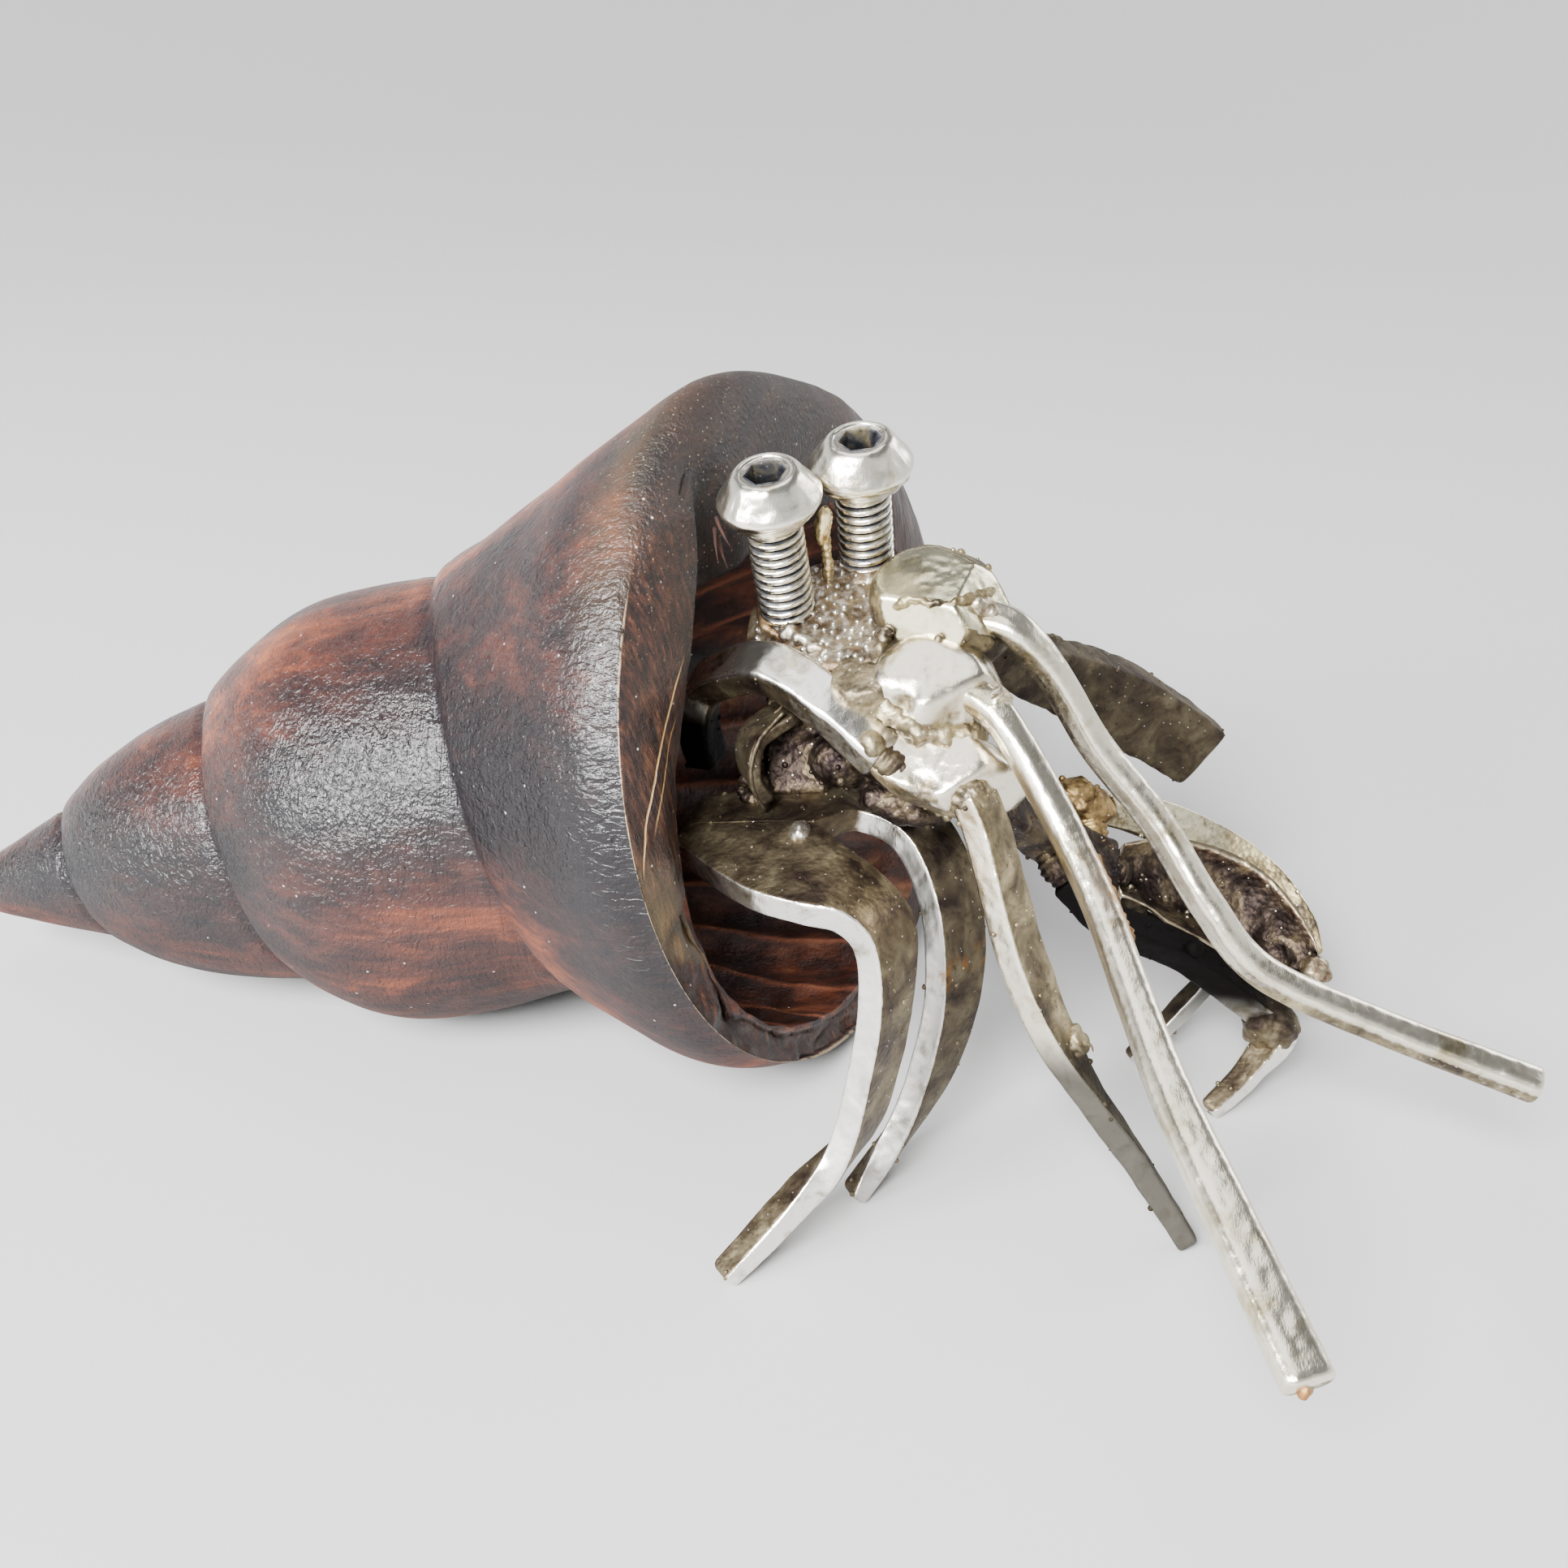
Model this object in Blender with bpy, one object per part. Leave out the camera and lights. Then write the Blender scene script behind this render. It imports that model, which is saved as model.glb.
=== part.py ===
"""Desk figure of a hermit crab: a spiral shell carved from dark hardwood, with a crab of welded steel.

The figure stands on z = 0 and looks along -Y; the shell's tip points along +Y. The crab comes out of the
shell's mouth towards -Y and -X. Every length below is in millimetres and MM turns it into metres.
Three vectors carry the shell: AXIS runs from tip to mouth, UP and NEAR are the two directions across it.
"""
import math

import bmesh
import bpy
import numpy as np
from mathutils import Matrix, Vector

MM = 0.001
GAP = 0.3            # left between pieces that meet
CENTRE = (14.35, -8.35)  # moves the middle of the figure's box onto the origin

# Shell
SHELL_LENGTH = 75.0
SHELL_TILT = math.radians(14.9)       # how far the tip drops below the mouth
MOUTH_YAW = math.radians(20.0)        # how far the mouth turns towards -X
MOUTH_CENTRE = np.array([0.0, -2.0, 26.7])
SHELL_PROFILE = (                     # distance from the tip, radius
    (0.0, 0.5), (1.5, 2.1), (5.5, 3.7), (10.0, 5.5), (20.0, 10.0), (30.0, 13.7),
    (38.0, 16.9), (46.0, 18.1), (53.0, 18.6), (59.0, 20.9), (65.0, 24.2), (70.0, 26.0), (75.0, 26.4),
)
GROOVE_OFFSET = 39.5                  # the grooves are a log spiral about a point this far past the tip
GROOVE_GROWTH = 1.324                 # growth of that spiral in one turn
GROOVE_AT = 52.5                      # where its last turn crosses the NEAR side
GROOVE_LAG = 0.22                     # part of a turn by which it hangs back on the NEAR side
WHORL_SWELL = 0.11                    # how far the whorls swell between grooves, as a share of the radius
SHOULDER = 1.35                       # extra height of the flare at its top
SHOULDER_AT = (74.0, math.radians(2.0))      # where: the distance from the tip, and the angle from UP
SHOULDER_SPREAD = (5.0, math.radians(21.0))  # how far it reaches along and around
SHELL_ROWS = 28
SHELL_COLUMNS = 38
MOUTH_RADII = (19.5, 22.6)            # opening, along UP and along NEAR
MOUTH_SHIFT = (-4.3, -0.4)            # its middle from the shell's axis, along UP and along NEAR
LIP_ROLL = 1.6                        # how far the lip rolls forward at the top
LIP_STEPS = (0.14, 0.42, 0.78)        # rows across the face of the lip
CAVITY = ((2.5, 0.97), (8.0, 0.91), (16.0, 0.77), (26.0, 0.61), (35.0, 0.42), (41.0, 0.2))

# Eye screws
HEAD_RADIUS = 3.7
HEAD_HEIGHT = 4.0
SHANK_RADIUS = 2.0
THREAD_DEPTH = 0.28
THREAD_PITCH = 0.85
SOCKET_FLATS = 2.5
SOCKET_DEPTH = 1.9
EYE_SEAT = 14.0                       # how far down the seat of an eye is bored, from the head
SCREW_SEGMENTS = 10

# Steel stock
ROD = 2.25
SHEET = 2.0

AXIS = np.array([0.0, -math.cos(SHELL_TILT), math.sin(SHELL_TILT)])
UP = np.array([0.0, math.sin(SHELL_TILT), math.cos(SHELL_TILT)])
NEAR = np.array([-1.0, 0.0, 0.0])
TIP = MOUTH_CENTRE - AXIS * SHELL_LENGTH


# ---------------------------------------------------------------- helpers

def clear_scene():
    for obj in list(bpy.data.objects):
        bpy.data.objects.remove(obj, do_unlink=True)


def material(name, colour, roughness, metallic):
    """A Principled finish."""
    made = bpy.data.materials.new(name)
    made.use_nodes = True
    shader = made.node_tree.nodes["Principled BSDF"]
    shader.inputs["Base Color"].default_value = (*colour, 1.0)
    shader.inputs["Roughness"].default_value = roughness
    shader.inputs["Metallic"].default_value = metallic
    made.diffuse_color = (*colour, 1.0)
    return made


def place(points):
    """Millimetres in the figure's own frame, as metres about the middle of its box."""
    moved = np.asarray(points, float).reshape(-1, 3) + (CENTRE[0], CENTRE[1], 0.0)
    moved[:, 2] = np.maximum(moved[:, 2], 0.0)
    return moved * MM


def add_object(name, points, faces, finish, crease=35):
    """A closed mesh object with its faces turned outwards, smooth apart from edges over the crease angle."""
    mesh = bpy.data.meshes.new(name)
    mesh.from_pydata([tuple(p) for p in points], [], faces)
    work = bmesh.new()
    work.from_mesh(mesh)
    bmesh.ops.recalc_face_normals(work, faces=work.faces[:])
    if work.calc_volume(signed=True) < 0:
        bmesh.ops.reverse_faces(work, faces=work.faces[:])
    work.to_mesh(mesh)
    work.free()
    mesh.shade_smooth()
    mesh.set_sharp_from_angle(angle=math.radians(crease))
    mesh.materials.append(finish)
    obj = bpy.data.objects.new(name, mesh)
    bpy.context.scene.collection.objects.link(obj)
    return obj


def ring_faces(rows, columns):
    """Faces of a stack of closed rings, with an n-gon over each end."""
    faces = []
    for i in range(rows - 1):
        for j in range(columns):
            k = (j + 1) % columns
            faces.append((i * columns + j, i * columns + k, (i + 1) * columns + k, (i + 1) * columns + j))
    faces.append(tuple(range(columns)))
    last = (rows - 1) * columns
    faces.append(tuple(last + j for j in reversed(range(columns))))
    return faces


def smooth_path(knots, count):
    """Catmull-Rom curve through the knots (one row each), at count even steps of its parameter."""
    knots = np.asarray(knots, float)
    padded = np.vstack([2 * knots[0] - knots[1], knots, 2 * knots[-1] - knots[-2]])
    at = np.linspace(0.0, len(knots) - 1.0, count)
    i = np.minimum(at.astype(int), len(knots) - 2)
    f = (at - i)[:, None]
    a, b, c, d = (padded[i + k] for k in range(4))
    return 0.5 * (2 * b + (c - a) * f + (2 * a - 5 * b + 4 * c - d) * f**2 + (3 * b - a - 3 * c + d) * f**3)


def unit(vectors):
    return vectors / np.linalg.norm(vectors, axis=-1, keepdims=True)


def bar(name, knots, side, finish, steps=14, corner=0.22):
    """A bar swept through knots of (x, y, z, width, thickness). Its width lies along side, its corners are cut."""
    path = smooth_path(knots, steps)
    centre, width, thick = path[:, :3], path[:, 3:4], path[:, 4:5]
    along = unit(np.gradient(centre, axis=0))
    sides = smooth_path(side, steps) if np.ndim(side) == 2 else np.tile(np.asarray(side, float), (steps, 1))
    across = unit(sides - along * (sides * along).sum(1, keepdims=True))
    through = np.cross(along, across)
    cut = corner * np.minimum(width, thick)
    rings = []
    for su, sv, along_edge in ((1, 1, 0), (1, 1, 1), (-1, 1, 1), (-1, 1, 0), (-1, -1, 0), (-1, -1, 1), (1, -1, 1), (1, -1, 0)):
        u = su * (width / 2 - cut * along_edge)
        v = sv * (thick / 2 - cut * (1 - along_edge))
        rings.append(centre + across * u + through * v)
    points = np.stack(rings, axis=1)
    return add_object(name, place(points), ring_faces(steps, 8), finish, crease=30)


def lump(name, centre, radii, turn, finish, flats=(), wave=0.06, detail=3):
    """A bead of weld metal: an ellipsoid with a slow ripple, ground flat where a plane (normal, distance) cuts it."""
    work = bmesh.new()
    bmesh.ops.create_icosphere(work, subdivisions=detail, radius=1.0)
    ways = unit(np.array([v.co for v in work.verts]))
    faces = [tuple(v.index for v in f.verts) for f in work.faces]
    work.free()
    reach = 1.0 / np.linalg.norm(ways / np.asarray(radii), axis=1)
    ripple = np.sin(5.0 * ways[:, 0] + centre[0]) + np.sin(6.0 * ways[:, 1] + centre[1]) * np.cos(4.0 * ways[:, 2])
    reach *= 1.0 + wave * ripple / 2
    turned = ways @ np.array(Matrix.Rotation(turn[0], 3, turn[1])).T
    for normal, distance in flats:
        facing = turned @ unit(np.asarray(normal, float))
        reach = np.where(facing > 0.05, np.minimum(reach, distance / np.maximum(facing, 0.05)), reach)
    return add_object(name, place(turned * reach[:, None] + centre), faces, finish, crease=28)


def add_boolean(piece, tool, operation):
    tool.hide_render = True
    tool.display_type = "WIRE"
    if tool.name not in bpy.context.scene.collection.objects:
        bpy.context.scene.collection.objects.link(tool)
    change = piece.modifiers.new(tool.name, "BOOLEAN")
    change.operation = operation
    change.object = tool


def keep_clear(piece, *others):
    """Cuts the piece back so that it stays GAP away from each of the others."""
    for other in others:
        cutter = bpy.data.objects.new("cutter_" + piece.name + "_" + other.name, other.data.copy())
        cutter.matrix_world = other.matrix_world.copy()
        normals = [v.normal.copy() for v in cutter.data.vertices]
        for vertex, normal in zip(cutter.data.vertices, normals):
            vertex.co += normal * GAP * MM
        add_boolean(piece, cutter, "DIFFERENCE")


# ---------------------------------------------------------------- shell

def groove_turn(angle):
    """Turns that the groove has made at this angle from UP, by way of NEAR."""
    return angle / (2 * math.pi) - GROOVE_LAG * (1 - np.cos(angle)) / 2


def groove_start():
    near = 2 + groove_turn(math.pi / 2)
    return (GROOVE_AT + GROOVE_OFFSET) / GROOVE_GROWTH**near - GROOVE_OFFSET


def shell_radius(t, angle):
    """Radius at distance t from the tip: the profile, swelling from each groove to the next, and the shoulder."""
    outline = np.array(SHELL_PROFILE)
    knots = smooth_path(outline, 12 * len(outline))
    radius = np.interp(t, knots[:, 0], knots[:, 1])
    turns = np.log((t + GROOVE_OFFSET) / (groove_start() + GROOVE_OFFSET)) / math.log(GROOVE_GROWTH)
    along_whorl = (turns - groove_turn(angle)) % 1.0
    fade = np.clip(t / 10, 0, 1) * np.clip((SHELL_LENGTH + 4 - t) / 22, 0.2, 1)
    around = np.minimum(np.abs(angle - SHOULDER_AT[1]), np.abs(angle - SHOULDER_AT[1] - 2 * math.pi))
    shoulder = ((t - SHOULDER_AT[0]) / SHOULDER_SPREAD[0]) ** 2 + (around / SHOULDER_SPREAD[1]) ** 2
    swelled = radius * (1 + WHORL_SWELL * fade * (np.sin(math.pi * along_whorl**0.62) - 0.5))
    return swelled + SHOULDER * np.exp(-shoulder)


def slant(t):
    """How much of the mouth's yaw the cross-section at t has."""
    return np.clip((t / SHELL_LENGTH - 0.55) / 0.45, 0, 1) ** 2


def shell_point(t, up, near):
    """The point at t along the axis and (up, near) across it, in a section that leans over towards the mouth."""
    lean = -near * math.tan(MOUTH_YAW) * slant(t)
    return TIP + AXIS * (t + lean)[..., None] + UP * up[..., None] + NEAR * near[..., None]


def shell_rings():
    """Rings from the tip over the outside, across the lip and down to the end of the hollow."""
    angle = np.linspace(0, 2 * math.pi, SHELL_COLUMNS, endpoint=False)
    ones = np.ones_like(angle)
    rings = []
    for t in SHELL_LENGTH * np.linspace(0, 1, SHELL_ROWS) ** 0.92:
        radius = shell_radius(t * ones, angle)
        rings.append(shell_point(t * ones, radius * np.cos(angle), radius * np.sin(angle)))
    edge_up = MOUTH_RADII[0] * np.cos(angle) + MOUTH_SHIFT[0]
    edge_near = MOUTH_RADII[1] * np.sin(angle) + MOUTH_SHIFT[1]
    edge = shell_point(SHELL_LENGTH * ones, edge_up, edge_near)
    top = (0.5 + 0.5 * np.cos(angle)) ** 2
    ridge = rings[-1]
    for q in LIP_STEPS:
        rolled = LIP_ROLL * top * math.sin(math.pi * q)
        rings.append(ridge + (edge - ridge) * q + AXIS * rolled[:, None])
    rings.append(edge)
    for depth, share in CAVITY:
        t = (SHELL_LENGTH - depth) * ones
        rings.append(shell_point(t, edge_up * share, edge_near * share))
    return np.array(rings)


def make_shell(finish):
    rings = shell_rings()
    return add_object("shell", place(rings), ring_faces(len(rings), SHELL_COLUMNS), finish, crease=50)


# ---------------------------------------------------------------- crab

def screw_profile(length):
    """Half-section of a screw from the top of its head down its outer side to the end of its shank."""
    outline = [
        (HEAD_RADIUS * 0.46, HEAD_HEIGHT), (HEAD_RADIUS * 0.60, HEAD_HEIGHT * 0.96),
        (HEAD_RADIUS * 0.93, HEAD_HEIGHT * 0.60), (HEAD_RADIUS, HEAD_HEIGHT * 0.46),
        (HEAD_RADIUS * 0.92, HEAD_HEIGHT * 0.28), (HEAD_RADIUS * 0.60, 0.0),
    ]
    z = 0.0
    while z > -length:
        outline.append((SHANK_RADIUS - THREAD_DEPTH, z - 0.15 * THREAD_PITCH))
        outline.append((SHANK_RADIUS, z - 0.6 * THREAD_PITCH))
        z -= THREAD_PITCH
    outline.append((SHANK_RADIUS - THREAD_DEPTH, z))
    return outline


def make_eye(name, base, head, finish):
    """A button-head screw that stands on the crab's head as an eye stalk, from base up to the head's underside."""
    axis = Vector(head) - Vector(base)
    outline = screw_profile(axis.length)
    spin = [2 * math.pi * j / SCREW_SEGMENTS for j in range(SCREW_SEGMENTS)]
    points = [(r * MM * math.cos(a), r * MM * math.sin(a), z * MM) for r, z in outline for a in spin]
    screw = add_object(name, points, ring_faces(len(outline), SCREW_SEGMENTS), finish, crease=25)
    screw.rotation_mode = "QUATERNION"
    screw.rotation_quaternion = axis.to_track_quat("Z", "Y")
    screw.location = Vector(place([head])[0])
    bore(screw, screw, "socket", 6, SOCKET_FLATS / math.sqrt(3), HEAD_HEIGHT - SOCKET_DEPTH, HEAD_HEIGHT + 1)
    return screw


def bore(piece, screw, name, sides, radius, low, high):
    """Cuts a prism on the screw's axis out of the piece, between two heights above the head's underside."""
    work = bmesh.new()
    bmesh.ops.create_cone(
        work, cap_ends=True, segments=sides, radius1=radius * MM, radius2=radius * MM, depth=(high - low) * MM,
        matrix=Matrix.Translation((0, 0, (low + high) / 2 * MM)),
    )
    mesh = bpy.data.meshes.new(name + "_" + screw.name)
    work.to_mesh(mesh)
    work.free()
    cutter = bpy.data.objects.new(name + "_" + screw.name, mesh)
    cutter.parent = screw
    add_boolean(piece, cutter, "DIFFERENCE")


def make_head(steel, bright):
    """The welded head: a bent plate under the eyes, with a ground crest and two cheeks of weld metal on its front."""
    plate = bar(
        "head_plate",
        ((-8.4, 2.0, 36.4, 6.0, 1.8), (-9.2, -0.8, 37.8, 9.4, 2.4), (-9.4, -4.0, 38.6, 11.0, 3.0),
         (-10.0, -7.6, 38.4, 10.6, 3.2), (-11.4, -10.8, 36.8, 7.6, 3.0)),
        (0.92, 0.0, 0.4), steel, steps=9, corner=0.3,
    )
    crest = lump(
        "head_crest", (-9.2, -11.5, 40.0), (5.2, 5.2, 4.0), (0.4, "X"), bright,
        flats=(((-0.3, 0.1, 1), 3.0), ((-0.6, -0.9, 0.9), 3.6), ((-1, 0.3, 0.2), 4.2)),
    )
    upper = lump(
        "cheek_upper", (-14.4, -11.3, 36.0), (4.2, 4.9, 3.7), (0.3, "X"), bright,
        flats=(((-0.7, 0, 1), 2.9), ((-1, -0.5, 0), 3.2)),
    )
    lower = lump(
        "cheek_lower", (-18.0, -12.2, 31.6), (3.1, 5.9, 2.9), (0.3, "X"), bright,
        flats=(((-0.8, 0.2, 1), 2.0), ((-1, -0.6, -0.2), 2.7)),
    )
    keep_clear(crest, plate)
    keep_clear(upper, plate, crest)
    keep_clear(lower, upper)
    return plate, crest, upper, lower


def make_throat(steel, dark, plate, upper, lower, sheet):
    """The arched bar that hooks back into the shell, with the strap and ball of scrap behind it."""
    arch = bar(
        "neck_arch",
        ((-8.0, 5.4, 26.6, 2.8, 2.4), (-8.6, 6.0, 30.0, 2.8, 2.6), (-9.4, 5.3, 33.4, 3.0, 2.6),
         (-11.2, 2.7, 35.6, 3.2, 2.6), (-13.4, 0.1, 36.8, 3.4, 2.6), (-15.8, -3.5, 35.6, 3.4, 2.6),
         (-18.0, -7.8, 32.6, 3.2, 2.6)),
        (0.9, -0.3, 0.5), steel, steps=15,
    )
    strap = bar(
        "throat_strap",
        ((-12.0, -1.0, 33.0, 2.8, 1.0), (-13.6, 1.4, 31.6, 2.8, 1.0), (-14.8, 1.6, 29.4, 2.8, 1.0),
         (-14.8, 0.4, 27.4, 2.8, 1.0)),
        (0.9, 0.4, 0.1), steel, steps=9,
    )
    ball = lump("throat_ball", (-13.4, -4.9, 29.8), (2.3, 2.5, 2.0), (0.2, "Y"), dark, detail=2)
    post = bar(
        "throat_post",
        ((-7.8, -1.2, 36.2, 4.6, 2.6), (-9.2, -1.4, 32.6, 4.6, 2.6), (-10.6, -1.6, 29.6, 4.8, 2.8),
         (-12.4, -1.8, 26.4, 5.0, 2.8)),
        (0.1, 1.0, 0.0), dark, steps=7,
    )
    keep_clear(arch, plate, upper, lower)
    keep_clear(post, arch, plate, *sheet)
    keep_clear(strap, arch, plate, post, *sheet)
    keep_clear(ball, arch, strap, lower, post, *sheet)


def make_fork(steel):
    """One bent sheet that comes out of the shell and forks into the two hind legs: two halves, joined at the root."""
    near_half = bar(
        "fork_sheet",
        ((-15.8, 6.4, 24.5, 3.6, SHEET), (-18.2, 3.6, 25.0, 6.4, SHEET), (-20.7, 0.4, 25.5, 8.4, SHEET),
         (-22.6, -3.0, 25.8, 8.6, SHEET), (-23.9, -6.0, 25.3, 6.8, SHEET), (-25.0, -8.3, 22.9, 5.4, SHEET),
         (-26.0, -8.6, 18.6, 5.2, SHEET), (-27.1, -7.8, 12.6, 5.0, SHEET), (-28.6, -6.3, 7.8, 4.0, SHEET),
         (-30.8, -2.8, 4.5, 2.6, 1.9), (-34.4, 2.0, 0.45, 1.9, 1.6)),
        ((1.0, -0.1, 0.1), (1.0, -0.1, 0.1), (1.0, -0.1, 0.1), (1.0, -0.1, 0.1), (1.0, -0.2, 0.0),
         (0.88, -0.47, 0), (0.88, -0.47, 0), (0.88, -0.47, 0), (0.88, -0.47, 0), (0.9, 0.2, 0), (0.8, 0.6, 0)),
        steel, steps=26, corner=0.15,
    )
    far_half = bar(
        "fork_far_half",
        ((-13.8, 5.6, 24.5, 3.4, 1.8), (-14.7, 3.2, 25.0, 6.0, 1.8), (-14.6, 0.2, 25.5, 7.4, 1.8),
         (-13.5, -3.2, 25.9, 6.0, 1.8), (-13.1, -6.6, 26.1, 5.2, 1.8), (-14.3, -10.4, 24.9, 5.2, 1.8),
         (-17.3, -12.9, 20.9, 5.0, SHEET), (-19.6, -13.4, 14.6, 5.0, SHEET), (-21.2, -12.0, 8.2, 4.4, SHEET),
         (-23.0, -9.6, 3.8, 3.0, 1.8), (-25.6, -6.6, 0.4, 2.0, 1.5)),
        ((1.0, -0.1, 0.1), (1.0, -0.1, 0.1), (1.0, -0.1, 0.1), (1.0, -0.1, 0.1), (1.0, -0.1, 0.1),
         (0.9, -0.4, 0), (0.8, -0.6, 0), (0.8, -0.6, 0), (0.8, -0.6, 0), (0.85, -0.4, 0), (0.8, 0.5, 0)),
        steel, steps=26, corner=0.15,
    )
    add_boolean(near_half, far_half, "UNION")
    return near_half, far_half


def make_front_leg(bright, lower):
    leg = bar(
        "leg_front_near",
        ((-19.6, -13.8, 31.0, 3.2, 2.0), (-20.8, -15.0, 28.6, 3.2, 2.0), (-22.8, -16.4, 24.4, 3.4, 2.0),
         (-24.6, -18.0, 20.0, 3.4, 2.0), (-26.2, -20.2, 15.6, 2.8, 2.0), (-27.0, -22.9, 11.4, 2.4, 1.8),
         (-27.6, -26.1, 6.8, 2.2, 1.8), (-28.8, -30.4, 0.3, 1.6, 1.6)),
        ((0.85, -0.5, 0), (0.85, -0.5, 0), (0.85, -0.5, 0), (0.85, -0.5, 0), (0.9, -0.3, 0.2),
         (0.9, 0.2, 0.4), (0.8, 0.4, 0.4), (0.8, 0.4, 0.4)),
        bright, steps=17, corner=0.18,
    )
    keep_clear(leg, lower)


def make_antennae(bright, crest, upper, lower):
    """The two long feelers, bent from rod of one gauge and hammered a little flat towards their ends."""
    high = bar(
        "antenna_upper",
        ((-10.6, -13.6, 40.2, 3.0, 1.8), (-11.8, -16.6, 39.6, 2.8, 1.9), (-12.4, -19.2, 36.8, ROD, ROD),
         (-13.2, -22.6, 31.6, ROD, ROD), (-15.4, -27.0, 26.9, ROD, ROD), (-18.6, -30.6, 22.2, ROD, ROD),
         (-20.8, -34.6, 18.2, ROD, ROD), (-22.0, -42.8, 14.9, 2.35, ROD), (-24.2, -53.6, 11.9, 2.5, ROD)),
        (0.9, -0.4, 0.3), bright, steps=22, corner=0.28,
    )
    low = bar(
        "antenna_lower",
        ((-15.4, -13.0, 36.8, 2.6, 2.0), (-17.8, -15.6, 35.6, ROD, ROD), (-21.9, -19.4, 30.7, ROD, ROD),
         (-27.0, -22.1, 26.9, ROD, ROD), (-32.8, -24.0, 23.7, 2.35, ROD), (-39.2, -25.8, 21.2, 2.6, ROD),
         (-46.2, -28.3, 18.6, 2.9, 2.1), (-54.8, -31.6, 15.0, 3.2, 1.9)),
        (0.6, -0.8, 0.2), bright, steps=20, corner=0.28,
    )
    keep_clear(high, crest, upper)
    keep_clear(low, upper, lower)


def leaf(name, knots, depth, thick, finish, steps=9, across=7):
    """A cupped blade through knots of (x, y, z, half width), hollow towards the way that (x, y, z) opens."""
    path = smooth_path(knots, steps)
    centre, half = path[:, :3], path[:, 3:4]
    along = unit(np.gradient(centre, axis=0))
    opens = np.asarray(depth, float)
    reach = np.linalg.norm(opens)
    lift = unit(opens - along * (along @ opens)[:, None])
    wide = np.cross(along, lift)
    u = np.linspace(-1, 1, across)
    inner = [centre + wide * half * s + lift * reach * (half / half.max()) * s * s for s in u]
    outer = [p - lift * thick for p in inner]
    points = np.stack(inner + outer[::-1], axis=1)
    return add_object(name, place(points), ring_faces(steps, 2 * across), finish, crease=40)


def make_claw(steel, dark, brass, lower):
    """The far claw: an arm of bar, a knuckle, a cupped lower finger and a curved upper one."""
    arm = bar(
        "claw_arm",
        ((-15.6, -14.2, 29.0, 3.4, 2.6), (-11.0, -16.8, 25.0, 3.6, 2.8), (-7.4, -20.6, 20.6, 3.8, 3.0),
         (-4.6, -25.6, 16.6, 4.2, 3.0)),
        (0.5, 0.3, 0.8), dark, steps=9,
    )
    knuckle = lump("claw_knuckle", (-2.4, -23.6, 21.2), (1.9, 2.6, 1.6), (0.5, "X"), brass, detail=2)
    lower_finger = leaf(
        "claw_lower_finger",
        ((-4.0, -26.4, 15.6, 2.2), (-3.2, -30.6, 14.0, 3.6), (-3.6, -36.0, 11.8, 3.8), (-5.6, -40.6, 9.2, 2.4),
         (-6.8, -42.6, 8.4, 0.8)),
        (-1.4, 0.4, 1.8), 0.9, dark,
    )
    upper_finger = bar(
        "claw_upper_finger",
        ((-0.4, -25.4, 19.4, 2.6, 1.2), (0.8, -29.4, 18.0, 3.4, 1.2), (1.6, -34.6, 15.3, 3.8, 1.2),
         (0.6, -39.0, 12.8, 3.4, 1.2), (-2.0, -41.8, 10.6, 2.4, 1.2), (-3.9, -43.1, 8.4, 1.4, 1.2)),
        ((0.4, 0, 1), (0.5, 0, 1), (0.6, 0, 1), (0.6, -0.3, 0.8), (0.5, -0.6, 0.6), (0.4, -0.6, 0.6)),
        steel, steps=15,
    )
    keep_clear(arm, lower)
    keep_clear(lower_finger, arm)
    keep_clear(upper_finger, lower_finger, knuckle)
    keep_clear(knuckle, arm)
    return arm, knuckle, lower_finger, upper_finger


def make_far_side(steel, dark, crest, *claw):
    """The far block that stands for the second claw, and the two far legs under the first."""
    block = bar(
        "far_claw_block",
        ((-7.8, -13.2, 37.2, 3.0, 2.4), (-1.2, -18.4, 32.2, 4.6, 2.8), (4.0, -23.4, 28.2, 6.0, 3.4),
         (7.4, -29.0, 24.0, 6.4, 3.6), (9.6, -34.2, 19.8, 5.8, 3.4)),
        (0.1, -0.6, 0.9), dark, steps=12,
    )
    front = bar(
        "leg_far_front",
        ((-9.6, -21.6, 18.2, 2.4, 2.0), (-9.6, -25.6, 14.6, 2.6, 2.2), (-8.6, -31.2, 11.6, 2.8, 2.2),
         (-8.4, -36.8, 7.6, 3.2, 2.4), (-9.0, -39.6, 5.0, 3.0, 2.2), (-11.4, -37.4, 2.6, 2.2, 1.6),
         (-14.2, -34.0, 0.4, 1.6, 1.4)),
        (0.9, 0.1, 0.3), steel, steps=18,
    )
    rear = bar(
        "leg_far_rear",
        ((-6.6, -27.6, 13.4, 1.8, 1.4), (-5.0, -31.6, 10.0, 1.8, 1.4), (-4.6, -34.6, 7.0, 1.8, 1.4),
         (-5.8, -32.4, 3.8, 1.8, 1.4), (-7.8, -28.6, 0.35, 1.4, 1.2)),
        (0.9, 0.0, 0.2), steel, steps=16,
    )
    keep_clear(block, crest, *claw)
    keep_clear(front, *claw)
    keep_clear(rear, front, *claw)


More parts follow.
